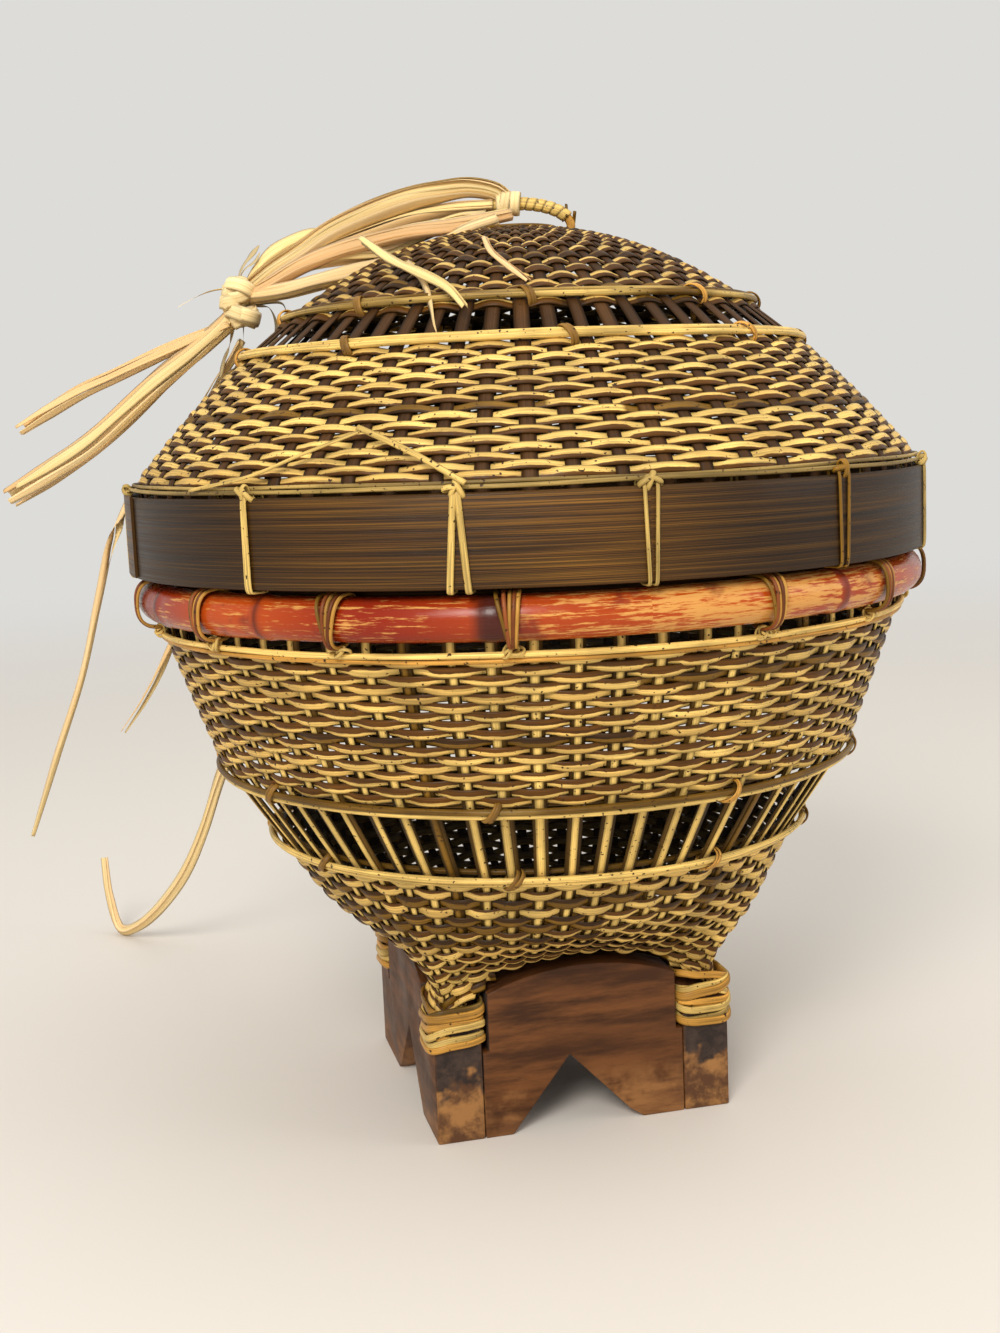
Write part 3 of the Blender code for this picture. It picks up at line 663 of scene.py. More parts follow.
def lid_weave(cane):
    """Weavers of both zones of the lid, and the coiled eye under the handle."""
    foot, low, high, eye = (lid_wall.where(0, radius) for radius in (LID_FOOT_R, *LID_OPEN, EYE_R))
    rng = draws("lid lower weave")
    lower = Bundle()
    look = (LID_DEPTH, 0.08, (0.2, 0.52), STRAW)
    for row, reach in enumerate(np.linspace(foot, low - 3 * MM, 17)):
        weaver(lower, lid_wall, reach, MM, row, rng, (3.95 * MM, 0.85 * MM, 0.85 * MM), look)
    lower.piece("lid_lower_weavers", cane, "weave", "lid", ["lid_lower_weave"])
    rng = draws("lid crown weave")
    crown = Bundle()
    look = (LID_DEPTH, 0.16, (0.38, 0.74), STRAW * 0.9)
    for row, reach in enumerate(np.linspace(high - 2.9 * MM, eye, 16)):
        narrow = float(np.clip(lid_wall.radius(reach) / (55 * MM), 0.5, 1))
        if row == 1:
            reach += 2.2 * MM
        strip = (4.9 * MM * narrow ** 0.3, 0.85 * MM, 0.95 * MM * narrow)
        weaver(crown, lid_wall, reach, MM, row, rng, strip, look)
    for k in range(6):
        radius = EYE_R - (k + 0.7) * 2.9 * MM
        path = at(radius, round_angles(72), lid_height(radius) - 1.0 * MM)
        crown.strand(path, UP, oval(3.0 * MM, 1.6 * MM), BARK * rng.uniform(1.2, 2.2), True)
    crown.piece("lid_crown_weavers", cane, "weave", "lid", ["lid_crown_weave"])


def lid_stakes(cane):
    rng = draws("lid stakes")
    bundle = Bundle()
    reach = np.linspace(0.2 * MM, lid_wall.where(0, EYE_R - 2 * MM), 70)
    for k in range(STAKES):
        angle = (k + 0.5) * SLOT + rng.uniform(-0.05, 0.05) * SLOT
        point, _away, out = surface_frames(lid_wall, np.full(len(reach), angle), reach, MM)
        width = np.minimum(5.3 * MM * rng.uniform(0.9, 1.1), 0.6 * SLOT * lid_wall.radius(reach))
        tint = CHESTNUT * rng.uniform(0.75, 1.3)
        stake_strip(bundle, point - out * LID_DEPTH, out, width, 0.7 * MM, tint)
    bundle.piece("lid_stake_strips", cane, "stake", "lid", ["lid_stakes"])


def bowl_weave(cane):
    """Weavers of both zones of the bowl, with shorter ones that fill its four corners."""
    rng = draws("bowl upper weave")
    upper = Bundle()
    look = (BOWL_DEPTH, 0.09, (0.28, 0.62), STRAW)
    ends = (bowl_wall.where(1, height) for height in (200.3 * MM, OPEN_HIGH[1] + 2.6 * MM))
    for row, reach in enumerate(np.linspace(*ends, 17)):
        weaver(upper, bowl_wall, reach, MM, row, rng, (4.05 * MM, 0.8 * MM, 1.1 * MM), look)
    upper.piece("bowl_upper_weavers", cane, "weave", "basket", ["bowl_upper_weave"])
    rng = draws("bowl lower weave")
    lower = Bundle()
    look = (BOWL_DEPTH, 0.07, (0.18, 0.5), STRAW)
    for row, step in enumerate(np.linspace(0.1, 2.0, 15)):
        weaver(lower, foot_wall, step, 0.03, row, rng, (5.0 * MM, 0.8 * MM, 1.1 * MM), look)
    look = (BOWL_DEPTH, 0.10, (0.2, 0.52), STRAW)
    for corner in range(4):
        middle = FULL / 8 + corner * FULL / 4
        for row in range(4):
            half = (3.4 - 0.55 * row) * SLOT
            weaver(lower, foot_wall, 2.2 + 0.2 * row, 0.03, row + 15, rng, (4.6 * MM, 0.8 * MM, 1.15 * MM),
                   look, (middle - half, middle + half))
    lower.piece("bowl_lower_weavers", cane, "weave", "basket", ["bowl_lower_weave"])


def bowl_stake_path(angle, depth, last):
    """A stake's line down the whole bowl at a depth below its surface, with its outward directions."""
    reach = np.linspace(0.4 * MM, bowl_wall.reach[-1] - 0.5 * MM, 46)
    upper = surface_frames(bowl_wall, np.full(len(reach), angle), reach, MM)
    step = np.linspace(0.03, last, 30)
    lower = surface_frames(foot_wall, np.full(len(step), angle), step, 0.02)
    point, _away, out = (np.concatenate(pair) for pair in zip(upper, lower))
    narrow = np.concatenate([np.ones(len(reach)), 1 - 0.13 * step])
    return point - out * depth, out, narrow


def bowl_stakes(cane):
    """Each stake is a wide dark strip with a narrower pale one laid over it."""
    rng = draws("bowl stakes")
    bundle = Bundle()
    for k in range(STAKES):
        angle = (k + 0.5) * SLOT + rng.uniform(-0.05, 0.05) * SLOT
        from_corner = abs((angle % (FULL / 4)) - FULL / 8) / SLOT
        last = 2.9 if from_corner < 2.2 else 2.05
        path, out, narrow = bowl_stake_path(angle, 2.45 * MM, last)
        tint = STAKE_BROWN * rng.uniform(0.6, 1.3)
        stake_strip(bundle, path, out, 5.1 * MM * narrow * rng.uniform(0.92, 1.08), 0.6 * MM, tint)
        pale = BARK * 1.8 if k % 9 == 4 else STRAW * rng.uniform(0.8, 1.05)
        path, out, narrow = bowl_stake_path(angle + rng.uniform(-0.1, 0.1) * SLOT, 1.85 * MM, last)
        stake_strip(bundle, path, out, 3.1 * MM * narrow * rng.uniform(0.8, 1.12), 0.6 * MM, pale)
    bundle.piece("bowl_stake_strips", cane, "stake", "basket", ["bowl_stakes"])


def bowl_floor(cane):
    """Plaited floor: two sets of flat strips, each over one and under the next of the other set."""
    rng = draws("bowl floor")
    bundle = Bundle()
    low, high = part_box("bowl_floor")
    half = high[0]
    pitch = 6.4 * MM
    count = int(2 * half / pitch)
    line = np.linspace(-half, half, count * 6)
    for axis in (0, 1):
        for k in range(count):
            wave = np.cos(np.pi * ((line + half) / pitch - 0.5) + np.pi * (k + axis))
            path = np.zeros((len(line), 3))
            path[:, axis] = line
            path[:, 1 - axis] = (k + 0.5) * pitch - half
            path[:, 2] = (low[2] + high[2]) / 2 + 0.55 * MM * wave
            bundle.strand(path, UP, oval(5.8 * MM, 0.8 * MM, 6), HONEY * rng.uniform(0.6, 1.2))
    bundle.piece("bowl_floor_plait", cane, "weave", "basket", ["bowl_floor"])


HOOPS = {
    # name: (wall, distance along it, body, tone, dark shares of its two canes, tilt of its ties, first tie)
    "bowl_upper_hoop": (bowl_wall, bowl_wall.where(1, 145.2 * MM), "basket", STRAW * 0.9, (0.75, 0.1),
                        -0.6, -7),
    "bowl_lower_hoop": (bowl_wall, bowl_wall.where(1, 115.3 * MM), "basket", STRAW * 0.9, (0.0, 0.25),
                        -0.75, -6),
    "lid_lower_hoop": (lid_wall, lid_wall.where(0, 112.6 * MM), "lid", STRAW * 0.95, (0.3, 0.05), 0.5, 7),
    "lid_upper_hoop": (lid_wall, lid_wall.where(0, 94.0 * MM), "lid", STRAW * 0.75, (0.5, 0.62), 0.5, 3),
}
HOOP_TIES = 9
TIE_SIZE = 4.5 * MM


def hoop_strand(bundle, wall, reach, proud, radius, rng, tint, dark):
    """A round cane that follows a wall, wavering a little, its colour changing along it."""
    angle = round_angles(336)
    point, away, out = surface_frames(wall, angle, reach + wander(angle, rng, 0.5 * MM, 3, 12), MM)
    path = point + out * (proud + wander(angle, rng, 0.25 * MM, 3, 12))[:, None]
    thick = radius * (1 + wander(angle, rng, 0.25, 4, 20))
    share = np.clip(0.5 + 3 * (dark - 0.5 + wander(angle, rng, 0.6, 3, 14)), 0, 1)[:, None]
    section = oval(2, 2)[None] * thick[:, None, None]
    bundle.add(carry(path, away, out, section), tint * (1 - share) + BARK * 1.2 * share, closed=True)


def tie(bundle, wall, angle, reach, tilt, rng, tint):
    """Turns of thin cane round a hoop, leaning to one side."""
    point, away, out = (v[0] for v in surface_frames(wall, np.array([angle]), np.array([reach]), MM))
    along = np.cross(out, away)
    for k in range(2):
        second = swung(away, along, tilt + rng.uniform(-0.12, 0.12)) * TIE_SIZE
        centre = point - out * 1.1 * MM + along * (k - 0.5) * 1.3 * MM
        bundle.loop(centre, out * TIE_SIZE * 0.85, second, 2.0 * MM, 0.8 * MM, tint * rng.uniform(0.75, 1.1),
                    samples=20)


def hoops(cane):
    """Round each edge of an open band: two canes outside, a dark one inside, and leaning ties."""
    for name, (wall, reach, body, tone, dark, tilt, first) in HOOPS.items():
        rng = draws(name)
        bundle = Bundle()
        hoop_strand(bundle, wall, reach - 1.15 * MM, 0.7 * MM, 1.2 * MM, rng, tone, dark[0])
        hoop_strand(bundle, wall, reach + 1.25 * MM, 0.5 * MM, 1.05 * MM, rng, tone, dark[1])
        hoop_strand(bundle, wall, reach, -4.5 * MM, 1.1 * MM, rng, BARK, 0.4)
        for k in range(HOOP_TIES):
            angle = VIEW_TURN + math.radians(first) + k * FULL / HOOP_TIES + rng.uniform(-0.03, 0.03)
            tie(bundle, wall, angle, reach, tilt, rng, HONEY * (0.5 + 0.8 * (k % 2)))
        bundle.piece(name + "_canes", cane, "cane", body, [name])
    rng = draws("neck hoop")
    bundle = Bundle()
    reach = bowl_wall.where(1, 203.2 * MM)
    hoop_strand(bundle, bowl_wall, reach, 0.5 * MM, 1.15 * MM, rng, STRAW, 0.0)
    hoop_strand(bundle, bowl_wall, reach + 2 * MM, 0.3 * MM, 0.95 * MM, rng, HONEY, 0.2)
    bundle.piece("neck_hoop_canes", cane, "cane", "basket", ["neck_hoop"])


# ---- rim, bands and lashings ----

def ring_sizes(name):
    """Outer radius, lowest and highest point of a ring made of 32 flat facets."""
    low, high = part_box(name)
    return high[0] / math.cos(FULL / 64), low[2], high[2]


def bamboo_ring(bundle, name, thick, rng, tint, span=None, proud=0.0):
    """A flat strip bent into a ring: a slab section whose radius and height waver a little."""
    radius, low, high = ring_sizes(name)
    angle = round_angles(280) if span is None else np.linspace(*span, 60)
    middle = radius - thick / 2 + proud + wander(angle, rng, 0.35 * MM, 2, 7)
    height = (low + high) / 2 + wander(angle, rng, 0.5 * MM, 2, 6)
    path = at(middle, angle, height)
    side = np.broadcast_to(UP, path.shape)
    bundle.add(carry(path, side, at(1, angle, 0), slab(high - low, thick)), tint, closed=span is None)


def bands(bamboo, cane):
    """Strips of the lid's band and the collar, and the thin canes along the band's top edge."""
    angle = round_angles(280)
    turn = facing(angle)
    # Painted light on the outer band: the bells by facing angle copy how light fell on it seen from the
    # front. They give a painted highlight just right of the front (8 degrees) and a lit stretch left of it
    # (-22 degrees); the strip is a little paler there as well. The wide bell lightens the strip at the back,
    # and the wander varies its tone along it.
    painted_light_and_tone = 0.38 + 0.55 * bell(turn, -22, 17) + 1.0 * bell(turn, 8, 14)
    painted_light_and_tone = painted_light_and_tone + 0.4 * bell(turn, 150, 60)
    painted_light_and_tone = painted_light_and_tone + wander(angle, draws("band tone"), 0.12, 3, 11)
    # The outer band's tone carries this painted light; the inner band and the collar get a plain tone.
    for name, thick, stream, tone, body in (("lid_band_outer", 1.7, "outer band", painted_light_and_tone[:, None], "lid"),
                                            ("lid_band_inner", 1.7, "inner band", 1.2, "lid"),
                                            ("rim_collar", 2.1, "collar", 1.1, "basket")):
        strip = Bundle()
        bamboo_ring(strip, name, thick * MM, draws(stream), BAND_BROWN * tone)
        if name == "lid_band_outer":
            lap = (VIEW_TURN + math.radians(-96), VIEW_TURN + math.radians(-67))
            bamboo_ring(strip, name, 1.1 * MM, draws("band lap"), BAND_BROWN * 0.9, lap, 1.1 * MM)
        strip.piece(name + "_strip", bamboo, "band_bamboo", body, [name], 50)
    line = Bundle()
    rng = draws("band line")
    for k in range(2):
        angle = round_angles(336)
        path = at(158.9 * MM - k * 1.5 * MM + wander(angle, rng, 0.4 * MM), angle,
                  258.6 * MM + k * 1.3 * MM + wander(angle, rng, 0.9 * MM, 3, 15))
        share = np.clip(0.45 + wander(angle, rng, 0.9, 3, 14), 0, 1)[:, None]
        tint = STRAW * 0.62 * (1 - share) + UMBER * share
        line.strand(path, at(1, angle, 0), oval(1.5 * MM, 1.1 * MM, 6), tint, True)
    line.piece("lid_band_line_cane", cane, "cane", "lid", ["lid_band_line"])


POLE_CENTRE = (151 * MM, 215.5 * MM)
POLE_RADIUS = 8 * MM
POLE_JOINTS = np.array((-9, -3.4, 5.2, 13.5, 21, 28.3, 35, 43, 50.6))
POLE_RED = np.array((0.20, 0.006, 0.002))
POLE_AMBER = np.array((0.50, 0.078, 0.007))
POLE_DUSK = np.array((0.06, 0.010, 0.005))


def rim_pole(lacquer):
    """Half-round pole bent round the mouth, swelling at its joints.

    Its radius is the pole's own, plus a slow waver, plus a small bell-shaped swelling at each joint.
    """
    rng = draws("rim pole")
    angle = round_angles(512)
    gap = (angle[:, None] / SLOT - POLE_JOINTS[None] + STAKES / 2) % STAKES - STAKES / 2
    gap = np.abs(gap).min(axis=1)
    swell = 0.055 * bell(gap, 0, 0.16) - 0.02 * bell(gap, 0.4, 0.12)
    size = POLE_RADIUS * (0.975 + swell + wander(angle, rng, 0.02, 4, 16))
    turn = np.radians(np.linspace(-90, 90, 13))
    face = np.stack([np.sin(turn), np.cos(turn)], axis=-1)
    centre = at(POLE_CENTRE[0], angle, POLE_CENTRE[1] + wander(angle, rng, 0.35 * MM, 2, 6))
    side = np.broadcast_to(UP, centre.shape)
    turn = facing(angle)
    share = np.clip(0.35 + wander(angle, rng, 0.75, 3, 12) + 0.5 * bell(turn, 35, 22), 0, 1)[:, None]
    tint = POLE_RED * (1 - share) + POLE_AMBER * share
    scorch = 0.9 * bell(turn, -4.4, 2.1, 10) + 0.6 * bell(turn, -73, 9)
    scorch = np.clip(scorch + 0.8 * bell(gap, 0, 0.1), 0, 1)[:, None]
    tint = tint * (1 - scorch) + POLE_DUSK * scorch
    gold = 0.40 + 0.20 * bell(turn, 30, 26) + 0.06 * bell(turn, -38, 15)
    gold = gold + wander(angle, rng, 0.08, 5, 20) - 0.6 * scorch[:, 0]
    bundle = Bundle()
    bundle.add(carry(centre, side, at(1, angle, 0), face[None] * size[:, None, None]), tint, gold, True)
    bundle.piece("rim_pole_cane", lacquer, "rim_bamboo", "basket", ["rim_pole"], 60)


RIM_LASHING_SLOTS = (-15, -11, -7, -3, 3, 7, 12, 18, 24, 30, 37, 43)
RIM_LASHING_TONES = (BARK * 1.6, RED_CANE, HONEY * 0.8, RED_CANE * 0.6, HONEY)
RIM_LASHING_CENTRE = (152.4 * MM, 215.2 * MM)
RIM_KNOT_CENTRE = (152.2 * MM, 204.6 * MM)


def rim_lashings(cane):
    """Five turns of thin reddish cane round the pole and the wall, knotted on the neck hoop."""
    rng = draws("rim lashings")
    for number, slot in enumerate(RIM_LASHING_SLOTS, start=1):
        angle = slot * SLOT
        out, along = directions(angle)
        bundle = Bundle()
        for k, tone in enumerate(RIM_LASHING_TONES):
            lean = 0.08 * (k - 2) + rng.uniform(-0.10, 0.10)
            centre = at(RIM_LASHING_CENTRE[0], angle, RIM_LASHING_CENTRE[1]) + along * (k - 2) * 1.15 * MM
            first = out * (7.9 + 0.3 * (k % 2)) * MM
            second = swung(UP, along, lean) * (9.2 + 0.25 * (k % 2)) * MM
            bundle.loop(centre, first, second, 1.5 * MM, 1.2 * MM, tone * rng.uniform(0.8, 1.15), 0.78, 36)
        for k in range(3):
            centre = at(RIM_KNOT_CENTRE[0], angle, RIM_KNOT_CENTRE[1]) + along * (k - 1) * 1.6 * MM
            first = swung(along, UP, rng.uniform(0, FULL)) * 2.5 * MM
            second = (out * 0.8 + np.cross(out, unit(first)) * 0.5) * 2.1 * MM
            bundle.loop(centre, first, second, 1.3 * MM, 0.9 * MM, STRAW * rng.uniform(0.6, 1.0), samples=16)
        number = f"{number:02d}"
        bundle.piece("rim_lashing_turns_" + number, cane, "rim_lashing", "basket", ["rim_lashing_" + number])


BAND_LASHING_SLOTS = (-16, -9, -4, 0, 5, 10, 16, 22, 28, 34, 41)
BAND_LASHING_FORMS = {
    # lashing: (gap between its two strands at the top, at the bottom, width, colour)
    2: (0.8, 1.3, 2.1, STRAW * 0.8),
    3: (1.2, 6.2, 2.4, STRAW * 0.75),
    4: (4.6, 2.4, 1.4, STRAW * 0.6),
    5: (5.4, 3.4, 1.6, BARK * 2.4),
}
COMMON_LASHING = (3.4, 3.0, 1.8, STRAW * 0.6)


def band_lashings(cane):
    """Two strands of cane round both strips of the band, knotted on its top edge."""
    rng = draws("band lashings")
    radius, low, high = ring_sizes("lid_band_outer")
    middle = (low + high) / 2
    for number, slot in enumerate(BAND_LASHING_SLOTS, start=1):
        angle = slot * SLOT
        top, bottom, width, tint = BAND_LASHING_FORMS.get(number, COMMON_LASHING)
        out, along = directions(angle)
        bundle = Bundle()
        for sign in (-1, 1):
            spread = sign * (top + bottom) / 4 * MM
            lean = sign * (top - bottom) / 2 * MM
            centre = at(156.3 * MM, angle, middle + 0.3 * MM) + along * spread
            second = UP * (high - low + 2.4 * MM) / 2 + along * lean / 2
            bundle.loop(centre, out * (radius - 155.5 * MM), second, width * MM, 0.9 * MM,
                        tint * rng.uniform(0.85, 1.1), 0.22, 72)
        for k in range(3):
            spin = rng.uniform(-0.7, 0.7) + k * 1.2
            centre = at(159.6 * MM, angle, high + 1.6 * MM) + along * (k - 1) * 1.2 * MM
            second = (out * 0.9 + UP * 0.4) * 1.9 * MM
            bundle.loop(centre, swung(along, UP, spin) * 3.0 * MM, second, 1.9 * MM, 0.9 * MM,
                        tint * rng.uniform(0.8, 1.15), samples=18)
        number = f"{number:02d}"
        bundle.piece("band_lashing_turns_" + number, cane, "cane", "lid", ["band_lashing_" + number])


def stray_strand(cane):
    """A spare end of lashing cane bent into a peak over the lid, between two lashings."""
    bundle = Bundle()
    left = [(-116, -111, 259.5), (-91.9, -128.5, 264.0), (-74, -134.5, 270.3), (-51.6, -138, 278)]
    right = [(-54, -137.5, 278.8), (-50, -139.5, 277), (-34.7, -150.5, 269.5), (-18.6, -161, 260)]
    for points, width in ((left, 1.7), (right, 2.3)):
        path = view_route(points, 2 * MM)
        lean = at(1, np.arctan2(path[:, 0], -path[:, 1]), 0.8)
        bundle.strand(path, lean, oval(width * MM, 0.9 * MM, 6), STRAW * 0.72)
    bundle.piece("lid_stray_cane", cane, "cane", "lid")


# ---- stand ----

def worn_board(name, finish):
    """The board's own shape with its arrises eased, and how worn each corner is."""
    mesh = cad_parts[name].data.copy()
    mesh.name = name + "_worn"
    shape = bmesh.new()
    shape.from_mesh(mesh)
    bmesh.ops.remove_doubles(shape, verts=shape.verts, dist=1e-6)
    bmesh.ops.dissolve_limit(shape, angle_limit=math.radians(1), verts=shape.verts, edges=shape.edges)
    sharp = [e for e in shape.edges if len(e.link_faces) == 2 and e.calc_face_angle(0) > math.radians(20)]
    bmesh.ops.bevel(shape, geom=sharp, offset=0.9 * MM, segments=2, profile=0.6, affect="EDGES")
    bmesh.ops.triangulate(shape, faces=[f for f in shape.faces if len(f.verts) > 4])
    shape.to_mesh(mesh)
    shape.free()
    mesh.shade_smooth()
    mesh.set_sharp_from_angle(angle=math.radians(30))
    points = np.empty(len(mesh.vertices) * 3)
    mesh.vertices.foreach_get("co", points)
    heights = points[2::3]
    wear = mesh.attributes.new("wear", "FLOAT", "POINT")
    wear.data.foreach_set("value", np.clip(1.1 - heights / (32 * MM), 0, 1))
    return settle(bpy.data.objects.new(name + "_worn", mesh), finish, "basket", [name])


def stand():
    side_wood = wood_finish("side_board_wood", 1)
    cross_wood = wood_finish("cross_board_wood", 0)
    for name in ("base_board_left", "base_board_right"):
        worn_board(name, side_wood)
    for name in ("base_board_front", "base_board_back"):
        worn_board(name, cross_wood)


BINDING_TURNS = 9


def corner_bindings(cane):
    """Turns of flat cane round each corner, leaning to and fro so that they cross like a herringbone."""
    turn = round_angles(60)
    c, s = squared(turn, 0.5)
    for name in ("front_left", "front_right", "back_left", "back_right"):
        rng = draws("binding " + name)
        low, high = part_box("corner_binding_" + name)
        centre = (np.array(low) + np.array(high)) / 2
        half = (high[0] - low[0]) / 2 - 0.7 * MM
        bundle = Bundle()
        for k in range(BINDING_TURNS):
            lean = (1 if k % 3 else -1) * rng.uniform(1.4, 3.0) * MM
            aim = math.atan2(centre[1], centre[0]) + rng.uniform(-0.5, 0.5)
            rise = lean * np.sin(turn - aim) + 0.7 * MM * np.sin(2 * turn + rng.uniform(0, FULL))
            height = high[2] - 3.2 * MM - k * (high[2] - low[2] - 6.4 * MM) / (BINDING_TURNS - 1) + rise
            bulge = half - 0.6 * MM + 0.55 * MM * (k % 3)
            path = np.stack([centre[0] + bulge * c, centre[1] + bulge * s, height], axis=-1)
            share = 0.8 if k < 2 and name != "front_right" else rng.uniform(0, 0.4)
            share = np.clip(share + wander(turn, rng, 0.4, 1, 6), 0, 1)[:, None]
            tone = STRAW * 0.85 if k % 2 else HONEY * 1.25
            tint = (tone * (1 - share) + BARK * share) * rng.uniform(0.7, 1.05)
            section = oval(rng.uniform(2.6, 3.9) * MM, 1.2 * MM)
            bundle.strand(path, np.stack([c, s, 0 * c], axis=-1), section, tint, True)
        bundle.piece(name + "_binding_turns", cane, "cane", "basket", ["corner_binding_" + name])


# ---- handle ----

HANDLE_ANGLE = 6.5 * FULL / 32
HANDLE_HALF = 23 * MM
HANDLE_RISE = 9.7 * MM
HANDLE_CENTRE_Z = 355.6 * MM
WRAP_END = math.radians(20)
WRAP_PITCH = 3.5 * MM
WRAP_RADIUS = 2.65 * MM


def handle_line(turn):
    """The handle's ellipse and its outward direction, turn running up from its outer end."""
    along, _across = directions(HANDLE_ANGLE)
    cos, sin = np.cos(turn)[:, None], np.sin(turn)[:, None]
    path = along * (HANDLE_HALF * cos) + UP * (HANDLE_CENTRE_Z + HANDLE_RISE * sin)
    return path, unit(along * (HANDLE_RISE * cos) + UP * (HANDLE_HALF * sin))


def handle(cane):
    """A bent cane, wrapped but for its two ends, with a few bark ends sticking out at its outer foot."""
    core = Bundle()
    path, out = handle_line(round_angles(72))
    core.strand(path, out, oval(3.7 * MM, 3.7 * MM, 10), HONEY, True)
    core.piece("handle_core_cane", cane, "cane", "lid", ["handle_core"])
    wrap = Bundle()
    path, _out = handle_line(np.linspace(WRAP_END, FULL / 2 - WRAP_END, 400))
    path = even_steps(path, WRAP_PITCH / 10)
    turn = np.arange(12) / 12
    share = (distances(path)[:, None] / WRAP_PITCH + turn[None]) % 1
    groove = bell(np.minimum(share, 1 - share), 0, 0.09)[..., None]
    swing = turn * FULL
    section = WRAP_RADIUS * (1 - 0.14 * groove) * np.stack([np.cos(swing), np.sin(swing)], axis=-1)[None]
    tint = STRAW * 0.85 * (1 - groove) + UMBER * groove
    wrap.strand(path, path - np.array((0, 0, HANDLE_CENTRE_Z)), section, tint)
    rng = draws("handle ends")
    foot, _out = handle_line(np.array([WRAP_END * 0.7]))
    for _k in range(5):
        start = foot[0] + rng.uniform(-1, 1, 3) * 2.5 * MM
        reach = unit(rng.uniform(-1, 1, 3)) * 5 * MM + [0, 0, 2 * MM]
        path = np.linspace(0, 1, 5)[:, None] * reach + start
        wrap.strand(path, (0.3, 0.2, 1), oval(1.4 * MM, 0.8 * MM, 6), BARK * rng.uniform(0.8, 1.6))
    wrap.piece("handle_wrapping", cane, "cane", "lid", ["handle_wrap"])


# ---- raffia ----

RAFFIA_ROUTES = {
    # name: (diameter, ribbons, ribbon width, twist, far end, points (across, back, up) in the turned frame)
    "raffia_loop_upper": (8.0, 12, 6.4, 0.5, "knot", [
        (-2.5, 1, 366.5), (-7.5, 0, 370.6), (-17.9, 0, 372.6), (-29.2, 0, 371.5), (-41.4, 0, 369.3),
        (-57.4, 0, 364.4), (-73.6, 1, 357.9), (-86.2, 1, 350.2), (-98.3, 0, 343.4), (-107.5, -1, 337)]),
    "raffia_loop_lower": (6.4, 9, 5.4, 0.9, "knot", [
        (-6.5, -9.8, 358), (-18.4, -12, 353.8), (-31.4, -12, 348), (-46, -11, 343.6), (-62.3, -9, 341),
        (-77.9, -7, 338), (-93.3, -5, 334.6), (-108, -2, 333)]),
    "raffia_tassel": (10.0, 16, 4.8, 0.5, "bare", [
        (-116.5, -1, 325), (-119.5, -1, 322.5), (-131, -3, 313), (-146, -5, 301.5), (-173, -5, 279.5),
        (-192, -5, 267.5), (-212, -5, 256.6)]),
    "raffia_tail_front": (3.0, 2, 3.4, 0.7, "bare", [
        (-58, -44, 349), (-46.4, -58.5, 339.6), (-34.7, -81, 332.4), (-24, -96.5, 325.6),
        (-17.7, -105.5, 318)]),
    "raffia_tail_right": (3.0, 2, 2.6, 0.7, "bare", [
        (-11.2, -60.5, 345.5), (-7.9, -75, 338.2), (-2, -87.5, 332.2), (4.4, -99, 326.2)]),
    "raffia_strand_long": (3.0, 2, 2.7, 2.5, "bare", [
        (-113.6, 4, 316), (-119, 8, 308.5), (-125.5, 12, 300.8), (-137, 22, 287), (-149, 30, 272),
        (-159.5, 32, 262), (-166, 22, 256), (-170.5, 12, 244), (-176, 10, 232), (-184, 10, 206),
        (-193, 10, 176), (-206, 10, 143.5), (-219, 10, 110)]),
    "raffia_strand_short": (3.0, 2, 3.2, 1.2, "bare", [
        (-146, 80, 250), (-151, 78, 226), (-158, 74, 201), (-168.5, 70, 177), (-179.5, 70, 158.5),
        (-191, 70, 143)]),
    "raffia_strand_trailing": (5.0, 5, 5.4, 1.2, "bare", [
        (-123, 114, 250), (-127, 118, 226), (-133, 122, 195), (-141, 129, 160), (-150, 136, 130),
        (-162, 145, 104), (-174, 155, 75), (-188, 168, 49), (-207, 188, 25), (-226, 207, 8),
        (-239, 219, 4), (-245.5, 226, 22), (-248, 231, 42)]),
    "raffia_middle": (6.0, 5, 5.6, 0.3, "knot", [
        (-1, -4, 361), (-11.4, -7, 358.9), (-25.4, -10, 356.3), (-41.4, -10, 355.2), (-57.6, -8, 352.5),
        (-72, -6, 349.2), (-86.7, -4, 344.4), (-99.4, -3, 338), (-108.5, -2, 334)]),
    "raffia_inner": (6.0, 6, 4.0, 2.2, "knot", [
        (-11, -5, 360), (-22, -4, 359), (-37.6, -4, 354), (-51.9, -4, 348.5), (-68.2, -3, 347),
        (-82.7, -1, 345), (-96.1, -1, 339.5), (-108, -1, 334.5)]),
    "raffia_inner_high": (5.0, 5, 4.6, 1.6, "knot", [
        (-8, -2, 364.5), (-25, 0, 363.8), (-41, 0, 361.6), (-57, 0, 357), (-73, 0, 351.2), (-88, 0, 345.2),
        (-108, -1, 335)]),
    "raffia_branch_front": (2.0, 1, 3.0, 0.6, "bare", [
        (-40, -62, 338), (-33.5, -80, 330), (-30.5, -92, 321), (-29, -101, 312), (-27.5, -106, 305)]),
    "raffia_curl": (5.0, 3, 6.2, 1.2, "knot", [
        (-74, 7, 354.5), (-80.2, 8, 356.5), (-89.3, 8, 355.2), (-97.6, 7, 350.8), (-103.6, 6, 345),
        (-108.6, 3, 337.5)]),
    "raffia_tassel_upper": (5.0, 5, 3.6, 0.5, "bare", [
        (-117, -3, 322.5), (-123, -3, 320.2), (-135.5, -3, 315.7), (-151.4, -3, 309.6),
        (-166.2, -3, 303.4), (-179.8, -3, 297.9), (-193.6, -3, 290.8), (-206.1, -3, 283.6)]),
}
LOOSE_SPREAD = {"raffia_tassel": 0.3, "raffia_tassel_upper": 0.5}


